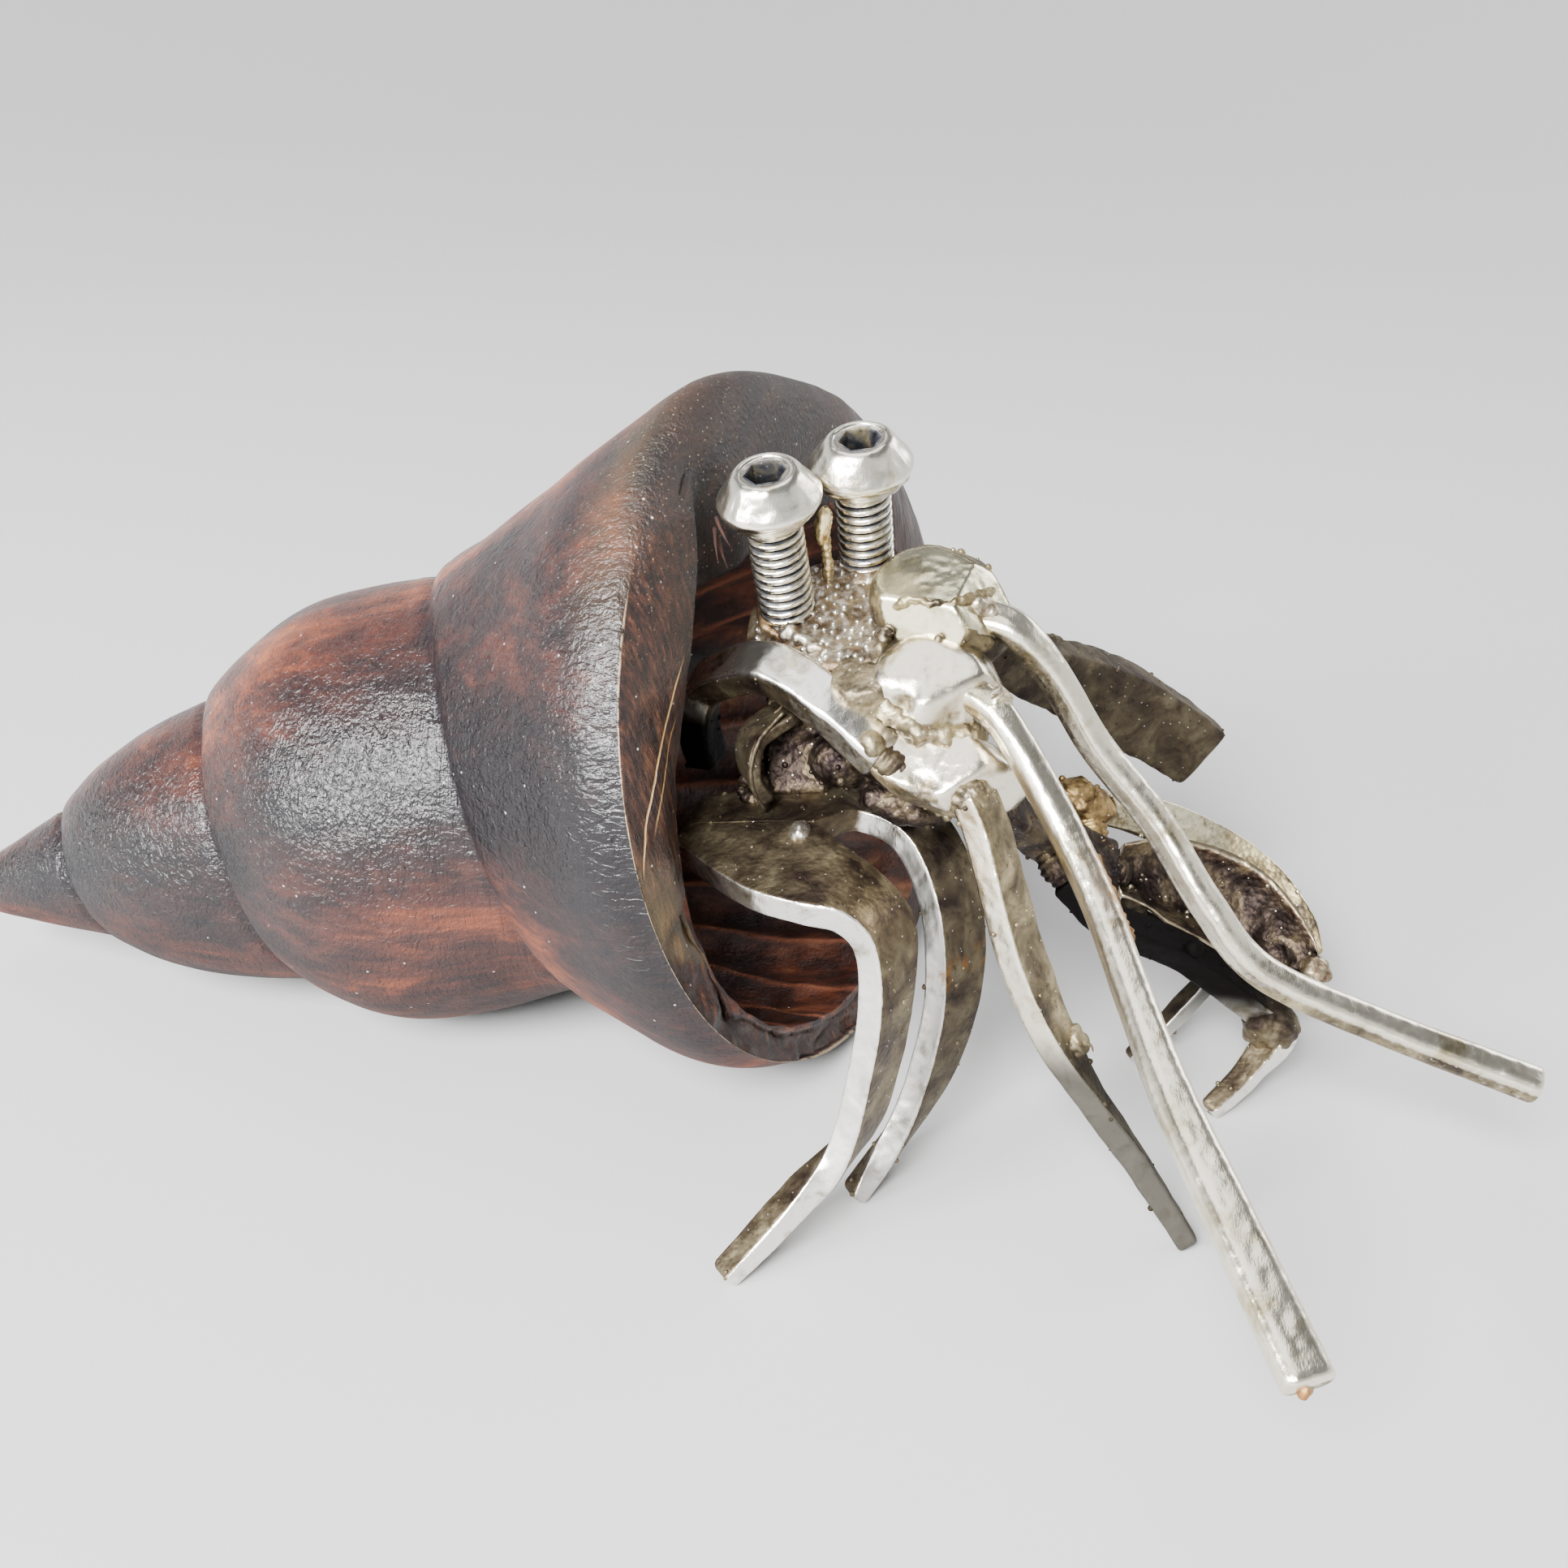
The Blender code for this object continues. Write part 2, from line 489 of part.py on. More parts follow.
def main():
    clear_scene()
    wood = material("rosewood", (0.16, 0.045, 0.02), 0.35, 0.0)
    steel = material("heat_tinted_steel", (0.33, 0.29, 0.22), 0.42, 1.0)
    bright = material("ground_steel", (0.72, 0.68, 0.58), 0.28, 1.0)
    dark = material("scaled_steel", (0.11, 0.09, 0.075), 0.55, 0.9)
    screw_steel = material("screw_steel", (0.62, 0.58, 0.5), 0.3, 1.0)
    brass = material("brassy_weld", (0.55, 0.42, 0.2), 0.35, 1.0)
    make_shell(wood)
    plate, crest, upper, lower = make_head(steel, bright)
    near_eye = make_eye("eye_screw_near", (-8.6, -0.9, 37.6), (-11.2, 0.2, 46.9), screw_steel)
    far_eye = make_eye("eye_screw_far", (-4.6, -6.2, 40.4), (-6.7, -5.7, 47.9), screw_steel)
    for eye in (near_eye, far_eye):
        bore(plate, eye, "seat", 16, SHANK_RADIUS + GAP, -EYE_SEAT, 0)
    sheet = make_fork(steel)
    make_throat(steel, dark, plate, upper, lower, sheet)
    make_front_leg(bright, lower)
    make_antennae(bright, crest, upper, lower)
    claw = make_claw(steel, dark, brass, lower)
    make_far_side(steel, dark, crest, *claw)


main()
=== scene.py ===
import math

import bpy
import numpy as np
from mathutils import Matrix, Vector


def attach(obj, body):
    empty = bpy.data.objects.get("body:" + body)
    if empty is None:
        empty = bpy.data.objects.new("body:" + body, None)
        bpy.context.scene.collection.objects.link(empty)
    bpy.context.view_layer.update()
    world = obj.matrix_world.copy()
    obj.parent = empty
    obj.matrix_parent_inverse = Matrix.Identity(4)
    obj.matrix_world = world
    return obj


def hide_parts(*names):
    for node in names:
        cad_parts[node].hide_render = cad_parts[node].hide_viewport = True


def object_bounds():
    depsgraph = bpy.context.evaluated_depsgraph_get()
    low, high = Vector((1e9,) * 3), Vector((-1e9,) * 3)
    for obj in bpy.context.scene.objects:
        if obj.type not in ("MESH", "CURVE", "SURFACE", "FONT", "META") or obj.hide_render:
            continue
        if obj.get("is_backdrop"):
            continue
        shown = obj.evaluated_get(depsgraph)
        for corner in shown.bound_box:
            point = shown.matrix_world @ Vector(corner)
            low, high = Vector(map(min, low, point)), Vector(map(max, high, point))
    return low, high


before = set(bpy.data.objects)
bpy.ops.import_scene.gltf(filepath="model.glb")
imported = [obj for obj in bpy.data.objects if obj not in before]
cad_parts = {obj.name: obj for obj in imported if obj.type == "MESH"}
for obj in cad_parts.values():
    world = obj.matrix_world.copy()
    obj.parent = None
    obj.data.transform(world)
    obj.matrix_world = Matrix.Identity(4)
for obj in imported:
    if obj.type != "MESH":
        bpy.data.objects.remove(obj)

BOX_LOW, BOX_HIGH = (np.array(corner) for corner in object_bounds())
MM = 0.001
CENTRE = np.array([14.35, -8.35, 0.0])
FULL_TURN = 2 * math.pi
LATTICE_CELLS = 32
LATTICE = np.random.default_rng(5).uniform(-1, 1, (LATTICE_CELLS,) * 3)


# ---------------------------------------------------------------- arrays

def grain(points, size, seed):
    """Smooth noise from -1 to 1: random values on a lattice of that size, eased between its corners."""
    at = np.asarray(points, float) / size + 7.31 * seed + 100
    cell = np.floor(at).astype(int)
    part = at - cell
    part = part * part * (3 - 2 * part)
    total = 0
    for corner in np.ndindex(2, 2, 2):
        weight = np.prod(np.where(np.array(corner) == 1, part, 1 - part), axis=-1)
        i, j, k = ((cell[..., axis] + corner[axis]) % LATTICE_CELLS for axis in range(3))
        total = total + weight * LATTICE[i, j, k]
    return total


def unit(vectors):
    return vectors / np.maximum(np.linalg.norm(vectors, axis=-1, keepdims=True), 1e-9)


def ease(x, low, high):
    """0 at low, 1 at high, smooth between."""
    s = np.clip((x - low) / (high - low), 0, 1)
    return s * s * (3 - 2 * s)


def near_line(x, width):
    """1 at x = 0, falling to 0 at that width on both sides."""
    return np.clip(1 - np.abs(x) / width, 0, 1)


def path_at(knots, at):
    """Catmull-Rom curve through the knots (one row each), at those values of its parameter."""
    knots = np.asarray(knots, float)
    padded = np.vstack([2 * knots[0] - knots[1], knots, 2 * knots[-1] - knots[-2]])
    i = np.minimum(at.astype(int), len(knots) - 2)
    f = (at - i)[:, None]
    a, b, c, d = (padded[i + k] for k in range(4))
    return 0.5 * (2 * b + (c - a) * f + (2 * a - 5 * b + 4 * c - d) * f**2 + (3 * b - a - 3 * c + d) * f**3)


def turns_of(count):
    """Angles of that many columns round a closed ring."""
    return np.linspace(0, FULL_TURN, count, endpoint=False)[None, :]


def place(points):
    """The maker's millimetres as metres in the row frame, kept inside the box of the solids."""
    return np.clip((np.asarray(points, float).reshape(-1, 3) + CENTRE) * MM, BOX_LOW, BOX_HIGH)


def ring_faces(rows, columns, start):
    """Quads between neighbouring closed rings, and a fan from a middle point over each end."""
    i = (np.arange(rows - 1) * columns)[:, None]
    j = np.arange(columns)
    k = (j + 1) % columns
    quads = np.stack([i + j, i + k, i + columns + k, i + columns + j], axis=-1).reshape(-1, 4) + start
    tip, tail = start + rows * columns, start + (rows - 1) * columns
    first = np.stack([np.full(columns, tip), start + k, start + j], axis=-1)
    last = np.stack([np.full(columns, tip + 1), tail + j, tail + k], axis=-1)
    return quads, np.concatenate([first, last])


def shown(name, mesh, finish):
    """The object that shows a smooth mesh in that finish."""
    mesh.shade_smooth()
    mesh.materials.append(finish)
    obj = bpy.data.objects.new(name, mesh)
    bpy.context.scene.collection.objects.link(obj)
    return obj


def build(name, nodes, finish, stacks, marks, crease=None):
    """One object from stacks of closed rings (rows, columns, 3), with the faces turned outwards.

    Each mark is an attribute: one array or value for each stack, the last one also for all stacks past it.
    """
    points, faces, start = [], [], 0
    values = {key: [] for key in marks}
    for n, rings in enumerate(stacks):
        rows, columns = rings.shape[:2]
        quads, fans = ring_faces(rows, columns, start)
        corners = rings.reshape(-1, 3)
        middle = corners.mean(axis=0)
        a, b, c, d = (corners[quads[:, side] - start] - middle for side in range(4))
        if np.sum(a * np.cross(b, c)) + np.sum(a * np.cross(c, d)) < 0:
            quads, fans = quads[:, ::-1], fans[:, ::-1]
        faces += quads.tolist() + fans.tolist()
        points.append(np.vstack([corners, rings[[0, -1]].mean(axis=1)]))
        for key, given in marks.items():
            one = np.broadcast_to(given[min(n, len(given) - 1)], (rows, columns))
            values[key].append(np.concatenate([one.reshape(-1), one[[0, -1]].mean(axis=1)]))
        start += rows * columns + 2
    mesh = bpy.data.meshes.new(name)
    mesh.from_pydata(place(np.vstack(points)).tolist(), [], faces)
    for key, parts in values.items():
        layer = mesh.attributes.new(key, "FLOAT", "POINT")
        layer.data.foreach_set("value", np.concatenate(parts).astype(np.float32))
    obj = shown(name, mesh, finish)
    if crease:
        mesh.set_sharp_from_angle(angle=math.radians(crease))
    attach(obj, "root")
    for node in nodes:
        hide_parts(node)


# ---------------------------------------------------------------- finishes

class Reading:
    """A shader socket that takes part in sums: each operator adds one Math node."""

    def __init__(self, finish, socket):
        self.finish, self.socket = finish, socket

    def sum_with(self, operation, first, second=0):
        return self.finish.node("ShaderNodeMath", {"operation": operation}, {0: first, 1: second})

    def __add__(self, other):
        return self.sum_with("ADD", self, other)

    def __sub__(self, other):
        return self.sum_with("SUBTRACT", self, other)

    def __rsub__(self, other):
        return self.sum_with("SUBTRACT", other, self)

    def __mul__(self, other):
        return self.sum_with("MULTIPLY", self, other)

    def __abs__(self):
        return self.sum_with("ABSOLUTE", self)


class Finish:
    """A material under construction. Its lengths are millimetres of Object coordinates."""

    def __init__(self, name):
        self.material = bpy.data.materials.new(name)
        self.material.use_nodes = True
        self.tree = self.material.node_tree
        self.shader = self.tree.nodes["Principled BSDF"]
        metres = self.node("ShaderNodeTexCoord", out="Object")
        self.spot = self.node("ShaderNodeVectorMath", {"operation": "SCALE"}, {0: metres, "Scale": 1 / MM})

    def node(self, kind, settings=None, sockets=None, out=0):
        """Adds a node with these settings and these values or links in its sockets, and gives one output."""
        made = self.tree.nodes.new(kind)
        for key, value in (settings or {}).items():
            if key == "stops":
                ramp = made.color_ramp
                while len(ramp.elements) < len(value):
                    ramp.elements.new(0.5)
                for element, (position, colour) in zip(ramp.elements, value):
                    element.position, element.color = position, (*colour, 1)
            else:
                setattr(made, key, value)
        for key, value in (sockets or {}).items():
            self.fill(made.inputs[key], value)
        return Reading(self, made.outputs[out])

    def fill(self, socket, value):
        if isinstance(value, Reading):
            self.tree.links.new(value.socket, socket)
        elif socket.type == "RGBA":
            socket.default_value = (*value, 1)
        else:
            socket.default_value = value

    def stretch(self, size, factors=(1, 1, 1)):
        scale = tuple(factor / size for factor in factors)
        return self.node("ShaderNodeVectorMath", {"operation": "MULTIPLY"}, {0: self.spot, 1: scale})

    def noise(self, size, factors=(1, 1, 1), detail=3, rough=0.55, twist=0):
        """Cloudy noise from 0 to 1, with patches of that size, made finer along X, Y and Z by the factors."""
        sockets = {"Vector": self.stretch(size, factors), "Scale": 1, "Detail": detail}
        return self.node("ShaderNodeTexNoise", None, {**sockets, "Roughness": rough, "Distortion": twist})

    def cells(self, size):
        """Distance to the nearest of scattered points that lie about that size apart."""
        return self.node("ShaderNodeTexVoronoi", None, {"Vector": self.stretch(size), "Scale": 1})

    def specks(self, size, core, rim):
        """Round specks, 1 inside the core and 0 past the rim, one for each of scattered points."""
        return 1 - self.step(self.cells(size), core, rim)

    def mark(self, name):
        return self.node("ShaderNodeAttribute", {"attribute_name": name}, None, "Fac")

    def ramp(self, value, *stops):
        return self.node("ShaderNodeValToRGB", {"stops": stops}, {0: value})

    def step(self, value, low, high):
        """0 at low, 1 at high, smooth between."""
        sockets = {"Value": value, "From Min": low, "From Max": high}
        return self.node("ShaderNodeMapRange", {"interpolation_type": "SMOOTHSTEP"}, sockets)

    def blend(self, amount, first, second):
        """Colour first where the amount is 0, and second where it is 1."""
        return self.node("ShaderNodeMix", {"data_type": "RGBA"}, {0: amount, 6: first, 7: second}, 2)

    def relief(self, *layers):
        """Normal from bump layers, each a height from 0 to 1 and its depth in millimetres."""
        height = layers[0][0] * layers[0][1]
        for value, depth in layers[1:]:
            height = height + value * depth
        return self.node("ShaderNodeBump", None, {"Strength": 1, "Distance": MM, "Height": height})

    def done(self, **sockets):
        for key, value in sockets.items():
            self.fill(self.shader.inputs[key.replace("_", " ")], value)
        return self.material


def rosewood():
    """Dark red-brown carved wood under thin oil.

    Outside: near-black streaks and orange figure, rasp ripples on the last whorl, leathery ones elsewhere,
    and painted shade in the grooves. The top of the mouth is sandy, with painted glints and a painted olive
    sheen;
    the lip browner with golden gouge lines and a pale ridge line, partly wear and partly a painted highlight;
    and the hollow red, with painted highlights along its facet edges.
    """
    f = Finish("rosewood")
    zone, along, turn = f.mark("zone"), f.mark("along"), f.mark("turn")
    strip, near = f.mark("strip"), f.mark("near")
    last = f.step(along, 46, 56)
    carved = f.step(zone, 0.1, 0.9)
    inside = f.step(zone, 1.4, 1.6)

    streak = f.noise(5.5, (1, 0.22, 1), 5, 0.62, 0.7)
    slant = f.noise(4, (0.5, 0.6, 1.2), 5, 0.65, 1.2)
    fine = f.noise(0.8, (1, 0.1, 1), 3, 0.6)
    outside = f.ramp(
        streak * 0.34 + slant * 0.26 + fine * 0.16 + f.mark("figure") * 0.24,
        (0.38, (0.004, 0.003, 0.004)), (0.47, (0.014, 0.006, 0.006)), (0.55, (0.044, 0.013, 0.009)),
        (0.62, (0.125, 0.031, 0.012)), (0.7, (0.26, 0.072, 0.02)), (0.8, (0.4, 0.145, 0.045)),
    )
    # Painted sheen: an olive tint laid over the outside near the top of the mouth.
    crest = (1 - f.step(turn, 24, 60)) * f.step(along, 66, 73)
    outside = f.blend(crest * 0.55, outside, (0.05, 0.04, 0.022))
    # Painted shade: the grooves darkened towards black.
    outside = f.blend(f.mark("groove") * (0.85 - last * 0.5), outside, (0.006, 0.004, 0.006))

    chisel = f.noise(0.55, (1.5, 1, 0.07), 4, 0.62)
    face = f.ramp(
        chisel, (0.36, (0.006, 0.003, 0.003)), (0.48, (0.018, 0.007, 0.005)), (0.6, (0.044, 0.016, 0.009)),
        (0.74, (0.11, 0.048, 0.02)),
    )
    wedge = f.step(turn, 74, 92) * (1 - f.step(turn, 96, 100)) * near
    face = f.blend(wedge * 0.45, face, (0.105, 0.078, 0.034))
    rolled = f.ramp(slant, (0.38, (0.004, 0.003, 0.003)), (0.66, (0.02, 0.009, 0.005)))
    face = f.blend((1 - f.step(turn, 20, 44)) * 0.9, face, rolled)

    def gouge(place_on_strip, core, rim, starts, ends):
        """A thin line along the strip, between the turns where it starts and ends."""
        line = 1 - f.step(abs(strip - place_on_strip), core, rim)
        return line * f.step(turn, *starts) * (1 - f.step(turn, *ends)) * near

    cut = 0.8 - (turn - 42) * 0.0175 + (f.noise(3) - 0.5) * 0.05
    long_line = gouge(cut, 0.006, 0.018, (40, 48), (78, 84))
    short_line = gouge(cut + 0.13, 0.004, 0.014, (50, 56), (70, 76))
    face = f.blend(long_line * 0.8 + short_line * 0.5, face, (0.5, 0.3, 0.1))

    red = f.noise(3.4, (1, 0.5, 1), 4, 0.6)
    hollow = f.ramp(
        red, (0.32, (0.008, 0.004, 0.003)), (0.48, (0.028, 0.009, 0.006)), (0.62, (0.095, 0.027, 0.012)),
        (0.76, (0.26, 0.12, 0.05)),
    )
    # Painted highlight: lighter red along the raised edges of the hollow's facets.
    hollow = f.blend(f.mark("edge") * 0.7, hollow, (0.3, 0.1, 0.05))

    colour = f.blend(inside, f.blend(carved, outside, face), hollow)
    # A pale line along the near ridge of the lip: partly wear, partly a painted highlight.
    pale = f.step(f.mark("worn"), 0.45, 0.95) * f.step(f.noise(0.7), 0.3, 0.5)
    colour = f.blend(pale, colour, (0.36, 0.26, 0.16))
    colour = f.blend(f.specks(1.9, 0.035, 0.06) * 0.7, colour, (0.55, 0.5, 0.45))
    sandy = (1 - f.step(turn, 26, 62)) * f.step(along, 62, 70) * (1 - inside)
    # Painted glints: pale specks on the sandy top of the mouth.
    colour = f.blend(f.specks(0.46, 0.06, 0.16) * sandy * 0.55, colour, (0.46, 0.38, 0.25))

    rasp = f.noise(0.5, (1.2, 0.4, 1), 2, 0.5, 0.9)
    leather = f.noise(0.48, (0.8, 0.9, 0.8), 2, 0.5, 1.2)
    turning = f.noise(0.5, (0.08, 1.6, 0.08), 2, 0.5)
    skin = 1 - carved
    normal = f.relief(
        ((rasp * last + leather * (1 - last)) * skin, 0.19),
        (turning * skin * (f.mark("valley") + 0.25), 0.1),
        (f.noise(2.2, (1, 0.6, 1), 2), 0.22), (chisel * carved, 0.12),
        (f.noise(0.26, detail=2), 0.06), (long_line, -0.12), (f.noise(0.34, detail=2) * sandy, 0.16),
    )
    cloud = f.noise(2.6, (1, 0.4, 1), 3)
    rough = cloud * 0.2 + 0.66 + carved * 0.1 - f.mark("upper") * 0.47 + sandy * 0.12
    return f.done(Base_Color=colour, Roughness=rough, Normal=normal, Specular_IOR_Level=0.45)


# The third colour is the black of painted shade.
RUST, SPARK, SHADE_BLACK = (0.36, 0.17, 0.055), (0.85, 0.83, 0.78), (0.008, 0.007, 0.007)


def steel(name, bright, warm, dull, oxide, rough, pebble, brush, cloud_size=3):
    """Worked steel: bright and brushed where its mark "ground" is 1, dull and heat-coloured where it is 0.

    The mark "stain" adds rust, and the shade mark paints shade black on roots, undersides and recesses. On
    some parts "ground" also marks the faces towards the lights, a painted highlight. pebble is the depth of
    the unground skin, and brush the factors that draw out the grinding lines.
    """
    f = Finish(name)
    cloud = f.noise(cloud_size, detail=4, rough=0.6, twist=0.5)
    ground = f.step(f.mark("ground") + (f.noise(0.6) - 0.5) * 0.6, 0.36, 0.66)
    skin = 1 - ground
    soot = f.mark("soot")
    colour = f.blend(
        ground, f.ramp(cloud, (0.34, oxide), (0.5, dull), (0.68, warm)),
        f.ramp(cloud, (0.3, warm), (0.46, bright), (0.7, bright)),
    )
    grime = f.step(f.noise(0.55, detail=4, rough=0.7), 0.56, 0.7) * (1 - ground * 0.75)
    colour = f.blend(grime * 0.75, colour, oxide)
    stain = f.mark("stain") * f.step(f.noise(0.8, detail=4), 0.3, 0.6)
    colour = f.blend(stain, colour, RUST)
    colour = f.blend(f.specks(0.75, 0.05, 0.1) * skin, colour, SPARK)
    # Painted shade: black laid over the colour where the shade mark is set.
    colour = f.blend(soot, colour, SHADE_BLACK)
    normal = f.relief(
        (f.noise(0.11, brush, 2, 0.5) * ground, 0.012),
        (f.noise(0.4) * (1 - ground * 0.8), pebble * 0.5),
        (f.cells(0.45) * skin, -pebble * 0.6), (f.noise(1.2, detail=1), 0.1),
    )
    dulled = cloud * 0.16 + skin * 0.24 + stain * 0.15 + soot * 0.3 + rough
    return f.done(Base_Color=colour, Metallic=1, Roughness=dulled, Normal=normal)


WOOD = rosewood()
GROUND = steel(
    "ground_steel", (0.8, 0.74, 0.61), (0.5, 0.43, 0.27), (0.22, 0.18, 0.11), (0.05, 0.04, 0.032),
    0.17, 0.08, (0.25, 1, 1),
)
TINTED = steel(
    "heat_tinted_steel", (0.82, 0.8, 0.74), (0.24, 0.2, 0.125), (0.12, 0.094, 0.06), (0.045, 0.031, 0.026),
    0.18, 0.07, (1, 1, 0.25), 2.6,
)
SCALED = steel(
    "scaled_steel", (0.5, 0.44, 0.31), (0.13, 0.1, 0.06), (0.045, 0.033, 0.027), (0.014, 0.01, 0.01),
    0.22, 0.14, (1, 0.25, 1), 2,
)
SCREW = steel(
    "screw_steel", (0.86, 0.82, 0.71), (0.66, 0.56, 0.34), (0.16, 0.17, 0.2), (0.022, 0.022, 0.028),
    0.14, 0.04, (1, 1, 0.2), 2.2,
)
STRAW = steel(
    "straw_steel", (0.74, 0.69, 0.49), (0.52, 0.46, 0.27), (0.24, 0.19, 0.1), (0.05, 0.04, 0.03),
    0.17, 0.08, (0.25, 1, 1),
)
BRASSY = steel(
    "brassy_weld", (0.8, 0.66, 0.38), (0.5, 0.35, 0.14), (0.24, 0.16, 0.07), (0.07, 0.04, 0.02),
    0.18, 0.1, (1, 1, 1), 1.4,
)


# ---------------------------------------------------------------- shell

SHELL_LENGTH = 75
SHELL_TILT = math.radians(14.9)
MOUTH_YAW = math.radians(20)
MOUTH_CENTRE = np.array([0, -2, 26.7])
SHELL_PROFILE = (
    (0, 0.5), (1.5, 2.1), (5.5, 3.7), (10, 5.5), (20, 10), (30, 13.7),
    (38, 16.9), (46, 18.1), (53, 18.6), (59, 20.9), (65, 24.2), (70, 26), (75, 26.4),
)
GROOVE_OFFSET, GROOVE_GROWTH, GROOVE_AT, GROOVE_LAG = 39.5, 1.324, 52.5, 0.22
GROOVE_SHARE, GROOVE_DEPTH, VALLEY_SHARE = 0.045, 0.42, 0.22
WHORL_SWELL = 0.11
WEAR_REACH = 1.7
WEAR_SHARES = ((-1, 0.15), (-0.5, 0.2), (0, 0.3), (0.5, 0.2), (1, 0.15))
SHOULDER, SHOULDER_AT, SHOULDER_SPREAD = 1.35, (74, math.radians(2)), (5, math.radians(21))
SHELL_ROWS, LIP_ROWS, HOLLOW_ROWS, SHELL_COLUMNS = 230, 44, 56, 280
MOUTH_RADII, MOUTH_SHIFT = (19.5, 22.6), (-4.3, -0.4)
LIP_ROLL, LIP_ROUNDING, LIP_PUFF, PUFF_REACH = 1.6, 2.3, 0.45, 4
SHARP, CORNER_ROWS = 0.05, 14
BEVEL_SLOPE, BEVEL_DEPTH = 0.75, 2.6
CUT_TURN, CUT_LEAN = 97, 16
HOLLOW = ((0, 1), (2.5, 0.97), (8, 0.91), (16, 0.77), (26, 0.61), (35, 0.42), (41, 0.2))
FACET_TURN, FACET_DEPTH = 17, 0.6
STRIP_TURNS = (14, 20, 30, 40, 50, 60, 70)
STRIP_SHARES = (0, 0.18, 0.52, 0.78, 0.88, 0.97, 1)

AXIS = np.array([0, -math.cos(SHELL_TILT), math.sin(SHELL_TILT)])
UP = np.array([0, math.sin(SHELL_TILT), math.cos(SHELL_TILT)])
NEAR = np.array([-1, 0, 0])
TIP = MOUTH_CENTRE - AXIS * SHELL_LENGTH


def groove_turn(angle):
    """Turns that the groove has made at this angle from UP, by way of NEAR."""
    return angle / FULL_TURN - GROOVE_LAG * (1 - np.cos(angle)) / 2


def through_whorl(t, angle):
    """How far a point is through its whorl, from 0 at one groove to 1 at the next, on a log spiral."""
    start = (GROOVE_AT + GROOVE_OFFSET) / GROOVE_GROWTH ** (2 + groove_turn(math.pi / 2)) - GROOVE_OFFSET
    turns = np.log((t + GROOVE_OFFSET) / (start + GROOVE_OFFSET)) / math.log(GROOVE_GROWTH)
    return (turns - groove_turn(angle)) % 1


def shell_radius(t, angle):
    """Radius at t from the tip: the profile, swelled by a sine through each whorl, and the shoulder."""
    knots = path_at(SHELL_PROFILE, np.linspace(0, len(SHELL_PROFILE) - 1, 12 * len(SHELL_PROFILE)))
    radius = np.interp(t, knots[:, 0], knots[:, 1])
    fade = np.clip(t / 10, 0, 1) * np.clip((SHELL_LENGTH + 4 - t) / 22, 0.2, 1)
    around = np.minimum(np.abs(angle - SHOULDER_AT[1]), np.abs(angle - SHOULDER_AT[1] - FULL_TURN))
    shoulder = ((t - SHOULDER_AT[0]) / SHOULDER_SPREAD[0]) ** 2 + (around / SHOULDER_SPREAD[1]) ** 2
    swelled = radius * (1 + WHORL_SWELL * fade * (np.sin(math.pi * through_whorl(t, angle) ** 0.62) - 0.5))
    return swelled + SHOULDER * np.exp(-shoulder)


def worn_radius(t, angle):
    """The radius averaged along the axis near the last two grooves, which are worn to soft valleys."""
    blur = WEAR_REACH * ease(t, 38, 50) * ease(-t, -72, -66)
    return sum(share * shell_radius(t + blur * offset, angle) for offset, share in WEAR_SHARES)


def shell_point(t, up, near):
    """The point at t along the axis and (up, near) across it, in a section that leans over at the mouth."""
    slant = np.clip((t / SHELL_LENGTH - 0.55) / 0.45, 0, 1) ** 2
    lean = -near * math.tan(MOUTH_YAW) * slant
    return TIP + AXIS * (t + lean)[..., None] + UP * up[..., None] + NEAR * near[..., None]


def rounded(rings, ridge_row, reach, radius):
    """Rings with the corner at ridge_row rolled over: rows within the radius go onto a quarter circle."""
    corner = rings[ridge_row]
    back, front = (unit(rings[ridge_row + side] - corner) for side in (-CORNER_ROWS, CORNER_ROWS))
    turn = (np.clip(reach / radius, -1, 1) + 1) * math.pi / 4
    arc = corner + radius[..., None] * (
        back * (1 - np.sin(turn))[..., None] + front * (1 - np.cos(turn))[..., None]
    )
    return np.where((np.abs(reach) < radius)[..., None], arc, rings)


